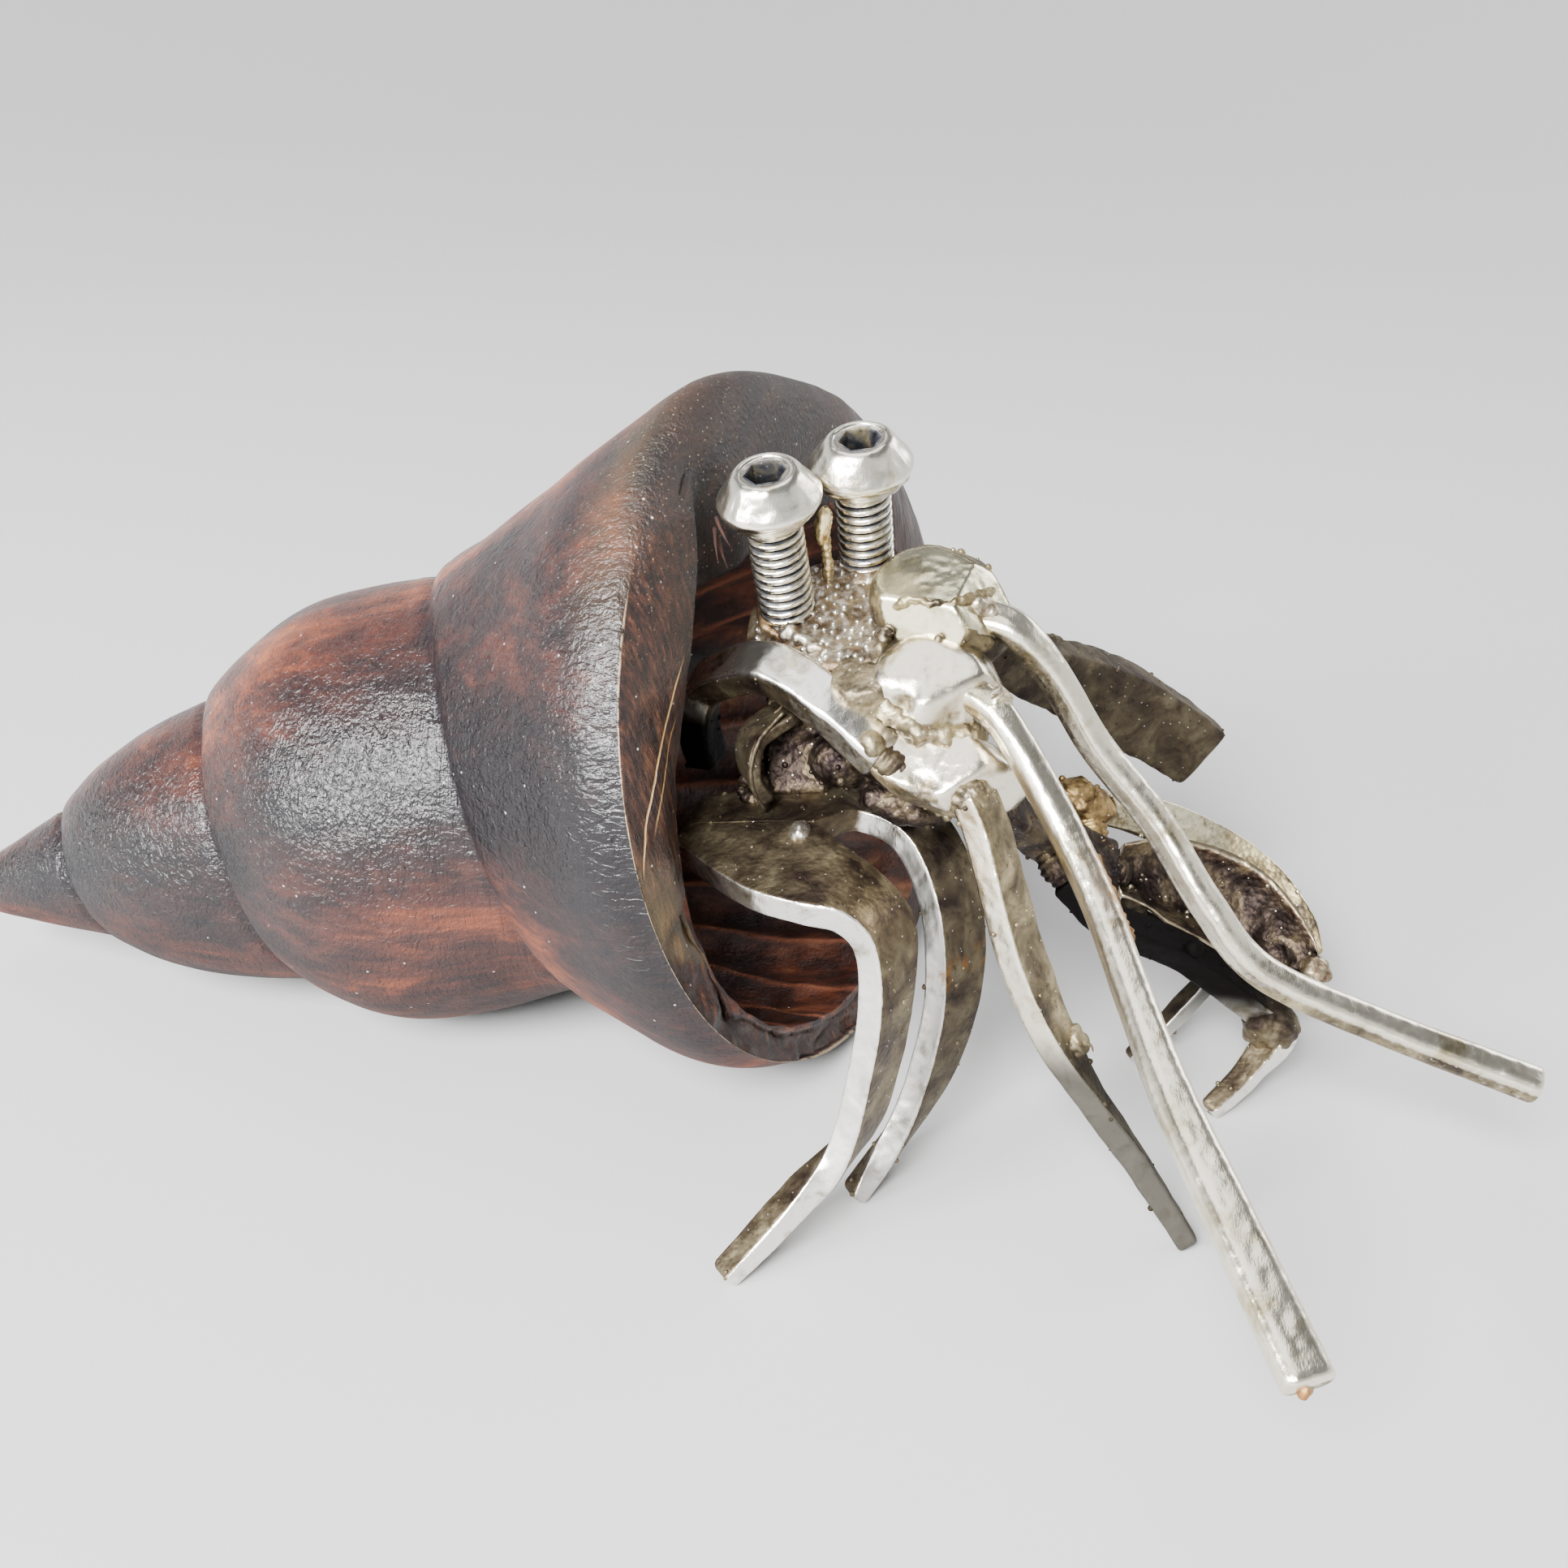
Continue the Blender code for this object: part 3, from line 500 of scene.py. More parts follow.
def carved_shell():
    """Outside, lip and hollow as one surface of (way along, angle), pressed in along its own normals.

    Outside: a V groove along the spiral and shallow knife flats. Lip: rounded over at the top; on the near
    side a flat strip that ends in a ridge at share STRIP_SHARES of its width, then a bevel into the mouth;
    below, a slanting cut over a rough, chipped edge. Hollow: long facets with raised edges.
    """
    angle = turns_of(SHELL_COLUMNS)
    degrees = np.degrees(angle)
    from_top = np.minimum(degrees, 360 - degrees)
    over = ease(-from_top, -58, -20)
    near_side = ease(degrees, 30, 50) * ease(-degrees, -215, -150)
    bevelled = ease(degrees, 10, 24) * ease(-degrees, -110, -70)

    # The plain surface: t along the outside, q from the outer edge of the lip to the inner one, depth inside.
    t = (SHELL_LENGTH * (1 - (1 - np.linspace(0, 1, SHELL_ROWS) ** 0.92) ** 1.25))[:, None] + 0 * angle
    radius = worn_radius(t, angle)
    outside = shell_point(t, radius * np.cos(angle), radius * np.sin(angle))
    edge_up = MOUTH_RADII[0] * np.cos(angle) + MOUTH_SHIFT[0]
    edge_near = MOUTH_RADII[1] * np.sin(angle) + MOUTH_SHIFT[1]
    inward = shell_point(SHELL_LENGTH + 0 * angle, edge_up, edge_near) - outside[-1:]
    thick = np.linalg.norm(inward, axis=-1)
    q = np.linspace(0, 1, LIP_ROWS + 1)[1:, None] + 0 * angle
    roll = LIP_ROLL * (0.5 + 0.5 * np.cos(angle)) ** 2 * np.sin(math.pi * q)
    strip_end = np.interp(degrees, STRIP_TURNS, STRIP_SHARES)
    sunk = np.minimum(BEVEL_SLOPE * bevelled * np.clip(q - strip_end, 0, 1) * thick, BEVEL_DEPTH)
    lip = outside[-1:] + inward * q[..., None] + AXIS * (roll - sunk)[..., None]
    run = np.linspace(0, len(HOLLOW) - 1, HOLLOW_ROWS + 1)[1:]
    depth, share = (np.interp(run, np.arange(len(HOLLOW)), part)[:, None] for part in np.array(HOLLOW).T)
    hollow = shell_point(SHELL_LENGTH - depth + 0 * angle, edge_up * share, edge_near * share)
    hollow = hollow - AXIS * (sunk[-1] * ease(-depth, -8, 0))[..., None]
    rings = np.concatenate([outside, lip, hollow])
    reach = np.linalg.norm(rings - outside[-1:], axis=-1)
    reach[:SHELL_ROWS] *= -1
    reach[SHELL_ROWS + LIP_ROWS:] = np.inf
    rings = rounded(rings, SHELL_ROWS - 1, reach, SHARP + LIP_ROUNDING * over + np.zeros(reach.shape))

    # The carving, as depths.
    whorl = through_whorl(t, angle)
    to_groove = np.minimum(whorl, 1 - whorl)
    groove = near_line(to_groove, GROOVE_SHARE) ** 1.6 * np.clip(t / 12, 0, 1) * np.clip((68 - t) / 14, 0, 1)
    knife = grain(outside * (1, 0.4, 1), 5, 1) * 0.12 + grain(outside * (1, 0.5, 1), 1.7, 2) * 0.04
    puffs = [LIP_PUFF * over * np.exp(-((away / PUFF_REACH) ** 2)) for away in (SHELL_LENGTH - t, q * thick)]
    below = ease(degrees - (CUT_TURN - CUT_LEAN * q), -0.8, 0.8) * ease(-degrees, -200, -150)
    chips = (0.55 + 0.5 * grain(lip, 2.2, 4) + 0.25 * grain(lip, 0.9, 5)) * below
    scoops = 0.1 * grain(lip * (1, 1, 0.35), 1.4, 6) + 0.08 * np.sin(q * 9 + degrees / 14) * near_side
    crumbs = ease(q, 0.86, 1) * np.clip(grain(lip, 1, 8), 0, 1) * 0.5
    lip_dent = scoops + chips + crumbs + 0.25 * grain(lip, 4, 9) * np.sin(math.pi * q)
    facet = (degrees / FACET_TURN + 0.25 * grain(hollow, 14, 10)) % 1
    hollow_dent = FACET_DEPTH * (1 - (2 * facet - 1) ** 2) * ease(depth, 0, 5)
    dent = np.concatenate([
        knife + GROOVE_DEPTH * groove - puffs[0], lip_dent * (1 - 0.7 * over) - puffs[1],
        hollow_dent + 0.16 * grain(hollow, 1.3, 11),
    ])
    across = unit(np.roll(rings, -1, axis=1) - np.roll(rings, 1, axis=1))
    out = unit(np.cross(unit(np.gradient(rings, axis=0)), across))
    belly = rings[SHELL_ROWS // 2] - rings[SHELL_ROWS // 2].mean(axis=0)
    out = out * np.sign(np.sum(out[SHELL_ROWS // 2] * belly))

    # The marks for the finish, each given for outside, lip and hollow.
    figure = 0.52 + 0.36 * np.cos(3 * angle - 0.1) + 0.45 * grain(outside * (1, 0.5, 1), 9, 12)
    figure = figure - 0.24 * ease(t, 54, 64) * ease(degrees, 60, 110) - 0.16 * ease(degrees, 150, 220)
    marks = {
        "zone": (over * ease(t, 68, 77.5), 1, 2),
        "along": (t, SHELL_LENGTH, SHELL_LENGTH),
        "turn": (from_top, from_top, from_top),
        "near": (ease(np.sin(angle), 0, 0.2),) * 3,
        "strip": (0, q / np.maximum(strip_end, 0.05), 1),
        # The groove mark also places the painted shade in the grooves.
        "groove": (groove, 0, 0),
        "valley": (near_line(to_groove, VALLEY_SHARE) * ease(t, 44, 50) * ease(-t, -70, -64), 0, 0),
        "figure": (figure, 0, 0),
        # The worn mark is a pale ridge line, partly wear and partly a painted highlight; the edge mark places
        # the painted highlight along the hollow's facet edges.
        "worn": (ease(t, 74.75, 75) * near_side, ease(-q, -0.03, 0) * near_side, 0),
        "edge": (0, 0, near_line(np.minimum(facet, 1 - facet), 0.06)),
    }
    zones = (outside, lip, hollow)
    marks = {key: [np.concatenate([part + np.zeros(zone.shape[:2]) for part, zone in zip(parts, zones)])]
             for key, parts in marks.items()}
    marks["upper"] = [ease(out[..., 2], -0.45, 0.15)]
    build("carved_shell", ["shell"], WOOD, [rings - out * dent[..., None]], marks)


def splinters():
    """A curled fibre and a few splinters on the inner corner of the lip: thin tapered rods on bent paths."""
    paths = (
        ((-3.6, -3.4, 45.5), (-4.4, -3.9, 44.9), (-5.2, -3.5, 44.7), (-5, -2.9, 45.4)),
        ((-7.4, 4.5, 45.6), (-8.4, 4.1, 45.2), (-9, 3.6, 44.5), (-8.8, 3.2, 43.8)),
        ((-7.6, 4.6, 44.9), (-8.9, 4.4, 44.2), (-9.4, 4.2, 43.1)),
        ((-7, 4.4, 44), (-8.2, 4, 43.2), (-8.4, 3.6, 42.2)),
    )
    stacks = [thread_rings(path, 0.14, seed) for seed, path in enumerate(paths)]
    build("lip_splinters", [], WOOD, stacks, {"zone": [2]})


# ---------------------------------------------------------------- steel forms

def section_columns(broad, narrow, corner):
    """Columns round a rectangle with rounded corners: places across and through (-1 to 1) and ways out.

    Half of them are one narrow side, a corner, a broad side and a corner, and the rest are their opposites.
    """
    t, w = np.linspace(-1, 1, narrow + 2)[1:-1], np.linspace(1, -1, broad + 2)[1:-1]
    turn = np.linspace(0, math.pi / 2, corner)
    c, s = np.cos(turn), np.sin(turn)
    parts = ((1, t, 1, 0), (1, 1, c, s), (w, 1, 0, 1), (-1, 1, -s, c))
    half = np.concatenate([np.stack(np.broadcast_arrays(*part)) for part in parts], axis=1)
    return np.concatenate([half, -half], axis=1)


def rows_along(knots, end, steps):
    """Values from 0 to 1 along the knots, with extra rows where the ends are rounded over."""
    spans = np.linalg.norm(np.diff(np.asarray(knots, float)[:, :3], axis=0), axis=1)
    lead = np.array([0, 0.05, 0.2, 0.5, 1]) * end / len(spans)
    first, last = lead / spans[0], 1 - lead[::-1] / spans[-1]
    return np.concatenate([first, np.linspace(first[-1], last[0], steps)[1:-1], last])


def sweep(centre, half_w, half_t, across, through, radii, end, wear, seed, counts):
    """Rings of a rounded rectangle along a centre line, drawn in over both ends and roughened by noise.

    Gives the rings, the ways out of them, and how far each column faces across.
    """
    cx, cy, nx, ny = section_columns(*counts)
    run = np.concatenate([[0], np.cumsum(np.linalg.norm(np.diff(centre, axis=0), axis=1))])
    to_end = np.clip(np.minimum(run, run[-1] - run) / end, 0, 1)
    inset = end * (1 - np.sqrt(1 - (1 - to_end) ** 2))[:, None]
    w, t = np.maximum(half_w[:, None] - inset, 0.1), np.maximum(half_t[:, None] - inset, 0.1)
    left, right = (np.broadcast_to(radius, run.shape)[:, None] for radius in radii)
    r = np.minimum(left + (right - left) * (cx + 1) / 2, 0.95 * np.minimum(w, t))
    x, y = cx * (w - r) + r * nx, cy * (t - r) + r * ny
    out = across[:, None] * nx[:, None] + through[:, None] * ny[:, None]
    rings = centre[:, None] + across[:, None] * x[..., None] + through[:, None] * y[..., None]
    dent = wear * (grain(rings, 2.3, seed) + 0.5 * grain(rings, 0.8, seed + 1) - 0.5)
    return rings + out * dent[..., None], out, np.broadcast_to(nx, rings.shape[:2])


def bar_rings(knots, side, seed, corner=0.28, steps=90, wear=0.06, counts=(10, 5, 4)):
    """A bar through knots of (x, y, z, width, thickness).

    side is the way across it, one for all or one at each knot, and counts are the columns on a broad side,
    a narrow side and a corner.
    """
    end = 0.35
    u = rows_along(knots, end, steps)
    path = path_at(knots, u * (len(knots) - 1))
    if np.ndim(side) == 2:
        sides = path_at(side, u * (len(side) - 1))
    else:
        sides = np.tile(np.asarray(side, float), (len(u), 1))
    along = unit(np.gradient(path[:, :3], axis=0))
    across = unit(sides - along * (sides * along).sum(1, keepdims=True))
    through = np.cross(along, across)
    halves = path[:, 3] / 2, path[:, 4] / 2
    return sweep(path[:, :3], *halves, across, through, (corner, corner), end, wear, seed, counts)


def ball_ways(rows, columns, pole):
    """Ways from a middle point in rings from pole to pole, each left open by that angle."""
    polar = np.linspace(pole, math.pi - pole, rows)[:, None]
    turn = turns_of(columns)
    ways = [np.sin(polar) * np.cos(turn), np.sin(polar) * np.sin(turn), np.cos(polar) + 0 * turn]
    return np.stack(ways, axis=-1)


LUMP_WAVE = 0.05
LIT_WAY = np.array([-0.75, -0.1, 0.65])


def lump_rings(centre, radii, turn, seed, flats=(), rows=70, columns=96, rough=0.07, soft=14,
               nicks=(), lit_highlight=0):
    """A weld lump and its ground mark: an ellipsoid with a slow ripple and pebbled skin, ground by planes.

    turn is an angle about X or Y. Each flat is (normal, distance): where it cuts, the reach is the soft
    minimum of skin and plane. Each nick is (point, radius, depth), a bell-shaped hollow, and the highlight
    argument
    paints a highlight: it marks as ground the skin that faces LIT_WAY, up and outwards towards the key light.
    """
    centre = np.asarray(centre, float)
    ways = ball_ways(rows, columns, 0.02)
    reach = 1 / np.linalg.norm(ways / np.asarray(radii), axis=-1)
    x, y, z = (ways[..., axis] for axis in range(3))
    ripple = np.sin(5 * x + centre[0]) + np.sin(6 * y + centre[1]) * np.cos(4 * z)
    reach = reach * (1 + LUMP_WAVE * ripple / 2)
    c, s = math.cos(turn[0]), math.sin(turn[0])
    spins = {"X": ((1, 0, 0), (0, c, -s), (0, s, c)), "Y": ((c, 0, s), (0, 1, 0), (-s, 0, c))}
    turned = ways @ np.array(spins[turn[1]]).T
    skin = turned * reach[..., None] + centre
    pebbles = grain(skin, 0.9, seed) + 0.6 * grain(skin, 0.4, seed + 1) + 0.5 * grain(skin, 2, seed + 2)
    reach = reach + rough * pebbles
    ground = np.zeros(reach.shape)
    for normal, distance in flats:
        facing = turned @ unit(np.asarray(normal, float))
        cut = np.where(facing > 0.05, distance / np.maximum(facing, 0.05), 1e3)
        cut = cut + 0.07 * grain(skin, 1.8, seed + 3) + 0.02 * grain(skin, 0.5, seed + 4)
        over = np.clip(soft * (reach - cut), -40, 40)
        ground = np.maximum(ground, ease(over, -1, 2))
        reach = reach - np.log1p(np.exp(over)) / soft
    # Painted highlight: skin that faces LIT_WAY, towards the key light, is marked ground.
    ground = np.maximum(ground, lit_highlight * ease(turned @ LIT_WAY, 0.1, 0.6))
    for point, width, depth in nicks:
        away = np.linalg.norm(turned * reach[..., None] + centre - np.asarray(point), axis=-1)
        bell = np.exp(-((away / width) ** 2))
        reach, ground = reach - depth * bell, ground * (1 - 0.8 * bell)
    return turned * reach[..., None] + centre, ground


def blob(centre, radii, tilt, rough, seed, rows=44, columns=52, flats=()):
    """Rings of a small rough lump, tilted about X."""
    return lump_rings(centre, radii, (tilt, "X"), seed, flats, rows, columns, rough)[0]


def ways_round(centre, columns):
    """Ways out of a tube at each place along its centre line, one for each column."""
    along = unit(np.gradient(centre, axis=0))
    first = unit(np.cross(along, (0.31, 0.2, 0.93)))
    second = np.cross(along, first)
    turn = turns_of(columns)[..., None]
    return first[:, None] * np.cos(turn) + second[:, None] * np.sin(turn)


def seam_rings(knots, radius, seed, rough, pitch=0.55):
    """A weld seam: a tube along the knots whose radius swells once each pitch, pinched in at both ends."""
    knots = np.asarray(knots, float)
    length = np.linalg.norm(np.diff(knots, axis=0), axis=1).sum()
    u = np.linspace(0, 1, max(12, int(length / 0.13)))
    centre = path_at(knots, u * (len(knots) - 1))
    run = u * length
    end = np.clip(np.minimum(run, length - run) / (radius * 1.3), 0, 1)
    swell = radius * (1 + 0.16 * np.abs(np.sin(math.pi * run / pitch + seed)))
    swell = swell * (0.09 + 0.91 * np.sqrt(1 - (1 - end) ** 2)) + 0.02
    way = ways_round(centre, 14)
    skin = centre[:, None] + way * swell[:, None, None]
    pebbles = grain(skin, 0.7, seed) + 0.6 * grain(skin, 0.33, seed + 1)
    return skin + way * (rough * pebbles * end[:, None])[..., None]


def thread_rings(knots, radius, seed):
    """A thin rod along a bent path, tapering to a point at its far end."""
    u = np.linspace(0, 1, 22)
    centre = path_at(knots, u * (len(knots) - 1))
    thick = radius * (1 - 0.85 * u**1.5) * (1 + 0.15 * grain(centre, 0.5, seed))
    return centre[:, None] + ways_round(centre, 8) * thick[:, None, None]


def bead_rings(centre, radii, rows=5, columns=8):
    """A bead: a small ball or oval of few faces."""
    return np.asarray(centre, float) + ball_ways(rows, columns, 0.25) * np.asarray(radii, float)


def spatter(rings, count, size, seed, weight):
    """Beads stuck on a surface at random spots of its rings, more of them where the weight is higher."""
    dice = np.random.default_rng(seed)
    weight = np.clip(weight, 0, 1)
    weight[:2], weight[-2:] = 0, 0
    flat = weight.reshape(-1) / weight.sum()
    picks = dice.choice(flat.size, size=count, p=flat)
    scale = size * dice.uniform(0.45, 1.25, count) ** 1.5
    return [bead_rings(rings.reshape(-1, 3)[spot], r) for spot, r in zip(picks, scale)]


def marked_bar(name, node, slot, finish, knots, side, bright="narrow", spots=0, extra=(), soot=None, **shape):
    """A bar whose ground faces are its narrow edges, its lit upper side (a painted highlight) or none, with
    spatter on its skin.

    The painted-shade argument is (full, none, most): the heights between which the painted shade fades, and
    how black it gets.
    """
    rings, out, nx = bar_rings(knots, side, **shape)
    # upper leans towards the key light: with bright "top" the faces that way are marked ground, a painted
    # highlight.
    upper = out[..., 2] - 0.35 * out[..., 0] + 0.25 * out[..., 1]
    ground = {"narrow": ease(np.abs(nx), 0.3, 0.75), "top": ease(upper, -0.35, 0.6), "none": 0 * nx}[bright]
    stacks = [rings, *extra, *spatter(rings, spots, 0.19, shape["seed"], 1 - ground * 0.7)]
    marks = {"ground": [ground, 0.3]}
    if soot:
        full, none, most = soot
        marks["soot"] = [most * ease(stack[..., 2], none, full) for stack in stacks]
    build(name, [node], finish, stacks, marks)


def marked_lump(name, node, slot, finish, centre, radii, turn, spots=0, extra=(), **shape):
    """A lump whose flats are ground, with spatter on its skin."""
    rings, ground = lump_rings(centre, radii, turn, **shape)
    stacks = [rings, *extra, *spatter(rings, spots, 0.26, shape["seed"], 1 - ground)]
    build(name, [node], finish, stacks, {"ground": [ground, 0.35]})


# ---------------------------------------------------------------- eyes

HEAD_RADIUS, HEAD_HEIGHT = 3.7, 4
SHANK_RADIUS, THREAD_DEPTH, THREAD_PITCH = 2, 0.32, 0.72
SOCKET_FLATS, HEAD_FACETS = 2.5, 7
SCREW_COLUMNS = 72
HEAD_OUTLINE = (
    (0.56, -0.04), (0.62, 0.02), (0.78, 0.13), (0.93, 0.27), (0.985, 0.38), (1, 0.46), (0.985, 0.53),
    (0.94, 0.6), (0.8, 0.76), (0.68, 0.9), (0.6, 0.965), (0.54, 0.985), (0.5, 0.975), (0.475, 0.955),
    (0.45, 0.95),
)
SOCKET_OUTLINE = ((1.06, 0.95), (1, 0.93), (1, 0.7), (1, 0.5), (0.72, 0.46), (0.3, 0.44))


def screw_rings(base, head, seed):
    """A socket screw and its marks: threads on a helix up the shank, and a head with a hex socket sunk in it.

    The head is ground in rough facets. Both outlines are (share of the radius, share of the head's height).
    """
    base, head = np.asarray(base, float), np.asarray(head, float)
    axis = unit(head - base)
    first = unit(np.cross(axis, (0.3, 0.9, 0.1)))
    second = np.cross(axis, first)
    length = np.linalg.norm(head - base)
    turn = turns_of(SCREW_COLUMNS)
    z = np.linspace(-length, -0.25, int(length / 0.06))[:, None]
    tooth = np.abs(((z / THREAD_PITCH - turn / FULL_TURN) % 1) - 0.5) * 2
    shank = SHANK_RADIUS - THREAD_DEPTH * ease(tooth, 0.25, 0.95)

    share = path_at(HEAD_OUTLINE, np.linspace(0, len(HEAD_OUTLINE) - 1, 60))
    wide, level = share[:, 0:1], share[:, 1:2]
    sector = FULL_TURN / HEAD_FACETS
    wobble = 0.35 * np.sin(3 * turn + seed) + 0.2 * np.sin(5 * turn + 2 * seed)
    flat = math.cos(sector / 2) / np.cos((turn + wobble) % sector - sector / 2)
    faceted = 1.1 * ease(level, 0.5, 0.1) + 0.45 * ease(level, 0.42, 0.6)
    radius = HEAD_RADIUS * wide * (1 + (flat - 1) * faceted * ease(wide, 0.6, 0.9))
    radius = radius + 0.06 * np.sin(2 * turn + seed) * ease(level, 0.2, 0.5)

    six = SOCKET_FLATS / 2 / np.cos(turn % (math.pi / 3) - math.pi / 6)
    sink = path_at(SOCKET_OUTLINE, np.linspace(0, len(SOCKET_OUTLINE) - 1, 22))
    inner, low = sink[:, 0:1], sink[:, 1:2]
    rows = np.concatenate([shank, radius, six * inner])
    heights = np.concatenate([z, level * HEAD_HEIGHT, low * HEAD_HEIGHT]) + 0 * turn
    rings = head + first * (rows * np.cos(turn))[..., None] + second * (rows * np.sin(turn))[..., None]
    out = unit(rings - head)
    rings = rings + axis * heights[..., None]
    skin = 0.035 * grain(rings, 0.8, seed) * (heights > -0.2) * (rows > 1.8)
    under = ease(-heights / HEAD_HEIGHT, -0.45, -0.1) * ease(heights, -0.3, 0)
    stain = 0.75 * ease(-rings[..., 1] + head[1], 0.8, 3.2) * under
    foot = 0.5 * ease(-heights, length - 2.5, length - 0.5)
    walls = 0.25 + 0.7 * ease(-low, -0.85, -0.5)
    ground = np.concatenate([1.1 - ease(tooth, 0.25, 0.8), 1 + 0 * radius, 0.2 + 0 * turn * low])
    # Painted shade: black in the thread valleys and down the socket walls.
    soot = np.concatenate([ease(tooth, 0.45, 0.95), 0 * radius, walls + 0 * turn])
    return rings + out * skin[..., None], {"ground": [ground], "stain": [stain + foot], "soot": [soot]}


def make_eyes():
    """The two eyes: socket screws that stand on the head plate, each given by its foot and its head."""
    eyes = (
        ("near_eye", "eye_screw_near", (-8.6, -0.9, 37.6), (-11.2, 0.2, 46.9), 1),
        ("far_eye", "eye_screw_far", (-4.6, -6.2, 40.4), (-6.7, -5.7, 47.9), 2.3),
    )
    for name, node, base, head, seed in eyes:
        rings, marks = screw_rings(base, head, seed)
        build(name, [node], SCREW, [rings], marks, crease=40)


# ---------------------------------------------------------------- head and throat

BEAD_ROWS, BEAD_COLUMNS = 13, 10


def loop(centre, across, up, radii):
    """Knots once round an oval, the last one on the first."""
    angle = np.linspace(0, FULL_TURN, 13)[:, None]
    sideways, upwards = np.asarray(across) * radii[0], np.asarray(up) * radii[1]
    return np.asarray(centre) + sideways * np.cos(angle) + upwards * np.sin(angle)


def plate_beads(plate, upper_side):
    """Beads of weld metal in jittered rows over the columns on the plate's upper side."""
    dice = np.random.default_rng(7)
    beads = []
    for i, j in np.ndindex(BEAD_ROWS, BEAD_COLUMNS):
        row = int(10 + 4.4 * i + dice.uniform(-1, 1))
        column = upper_side[int((j + dice.uniform(0.1, 0.9)) * len(upper_side) / BEAD_COLUMNS)]
        r = dice.uniform(0.15, 0.27)
        beads.append(bead_rings(plate[row, column], (r * 1.15, r, r * 0.95), 6, 9))
    return beads


def make_plate():
    """The plate under the eyes, the ring of weld at the near eye's foot, and the drip between the eyes."""
    plate, out, nx = bar_rings(
        ((-8.4, 2, 36.4, 6, 1.8), (-9.2, -0.8, 37.8, 9.4, 2.4), (-9.4, -4, 38.6, 11, 3),
         (-10, -7.6, 38.4, 10.6, 3.2), (-11.4, -10.8, 36.8, 7.6, 3)),
        (0.92, 0, 0.4), seed=3, corner=0.7, steps=80, wear=0.16, counts=(34, 8, 5),
    )
    upper_side = np.flatnonzero(np.abs(nx[0]) < 0.01)
    beads = plate_beads(plate, upper_side[out[40, upper_side, 2] > 0.5])
    eye_ring = loop((-8.9, -0.9, 39), (1, 0, 0.4), (0, 1, 0.1), (2.2, 2.1))
    stacks = [
        plate, seam_rings(eye_ring, 0.34, 31, 0.14, 0.9),
        blob((-4.9, -6.6, 40.6), (3, 3, 1.5), 0.1, 0.16, 32, rows=50, columns=70),
        seam_rings(((-10.6, -0.2, 38.6), (-12.7, -3, 38.2), (-14.6, -5.3, 37)), 0.55, 33, 0.3, 1.1),
    ]
    build(
        "spattered_plate", ["head_plate"], TINTED, stacks + beads,
        {"ground": [0.42 * ease(out[..., 2], 0.2, 0.9), 0.3, 0.4, 0.45, 0.55],
         "stain": [0.1, 0.3, 0.15, 0.1, 0]},
    )
    drip = [
        blob((-7.9, -3.1, 45.4), (0.55, 0.7, 1.5), 0.15, 0.12, 36, rows=40, columns=40),
        seam_rings(((-7.9, -3.1, 45.6), (-7.2, -3.3, 42.8), (-6.7, -3.5, 40)), 0.34, 37, 0.12),
    ]
    build("screw_braze", [], BRASSY, drip, {"ground": [0.7, 0.6]})


def make_crest():
    """The ground crest above the cheeks, with a seam round its upper face."""
    seam = seam_rings(
        ((-9.3, -7.4, 42.3), (-12, -8.4, 41.2), (-12.6, -9.2, 41.9), (-12.9, -11.4, 41.8),
         (-12, -13.3, 41.9), (-9.8, -15.1, 41.6)),
        0.26, 38, 0.22,
    )
    marked_lump(
        "ground_crest", "head_crest", "ground_steel", STRAW, (-9.2, -11.5, 40), (5.2, 5.2, 4), (0.4, "X"),
        flats=(((-0.3, 0.1, 1), 2.9), ((-0.6, -0.9, 0.9), 3.4), ((-1, 0.3, 0.2), 4)), seed=5, spots=26,
        extra=[seam],
    )


def make_cheeks():
    """The two cheeks: weld lumps ground flat on their outer faces, nicked, with ragged seams round them."""
    # The cheeks get the painted highlight on their skin that faces the key light.
    cheek = dict(rough=0.05, spots=10, soft=4.5, lit_highlight=1)
    jowl_seam = seam_rings(
        ((-16.6, -7.5, 36.4), (-17.6, -8.9, 35.1), (-18, -10.6, 34.4), (-17.4, -13, 33.9),
         (-16.5, -14.8, 33.8)),
        0.7, 39, 0.34, 1.3,
    )
    brow = ((-15.2, -7.2, 37.5), (-13.3, -7.4, 38.8), (-12.6, -7.9, 40))
    shoulder = blob((-15, -6.6, 36.3), (2.5, 2.8, 2.1), 0.3, 0.16, 41, 50, 60, (((-0.5, 0.2, 1), 1.7),))
    marked_lump(
        "upper_cheek", "cheek_upper", "ground_steel", GROUND,
        (-14.4, -11.3, 36), (4.2, 4.9, 3.7), (0.3, "X"), flats=(((-0.7, 0, 1), 3), ((-1, -0.5, 0), 3.2)),
        seed=7, extra=[jowl_seam, seam_rings(brow, 0.4, 40, 0.25, 0.9), shoulder],
        nicks=(((-17.8, -8.8, 36.6), 1, 0.7), ((-18.2, -12.6, 35.2), 1.3, 0.35)), **cheek,
    )
    seams = [
        seam_rings(((-18.3, -6.4, 34.6), (-18.7, -7, 33.9), (-18.9, -7.6, 33.2)), 0.9, 42, 0.3, 1.4),
        blob((-19.6, -13.6, 30.8), (1.7, 1.9, 1.5), 0.3, 0.2, 43),
    ]
    marked_lump(
        "lower_cheek", "cheek_lower", "ground_steel", GROUND,
        (-18, -12.2, 31.6), (3.1, 5.9, 2.9), (0.3, "X"),
        flats=(((-0.8, 0.2, 1), 2.1), ((-1, -0.6, -0.2), 2.7)), seed=9, extra=seams,
        nicks=(((-20.5, -10.6, 31.6), 0.9, 0.6),), **cheek,
    )


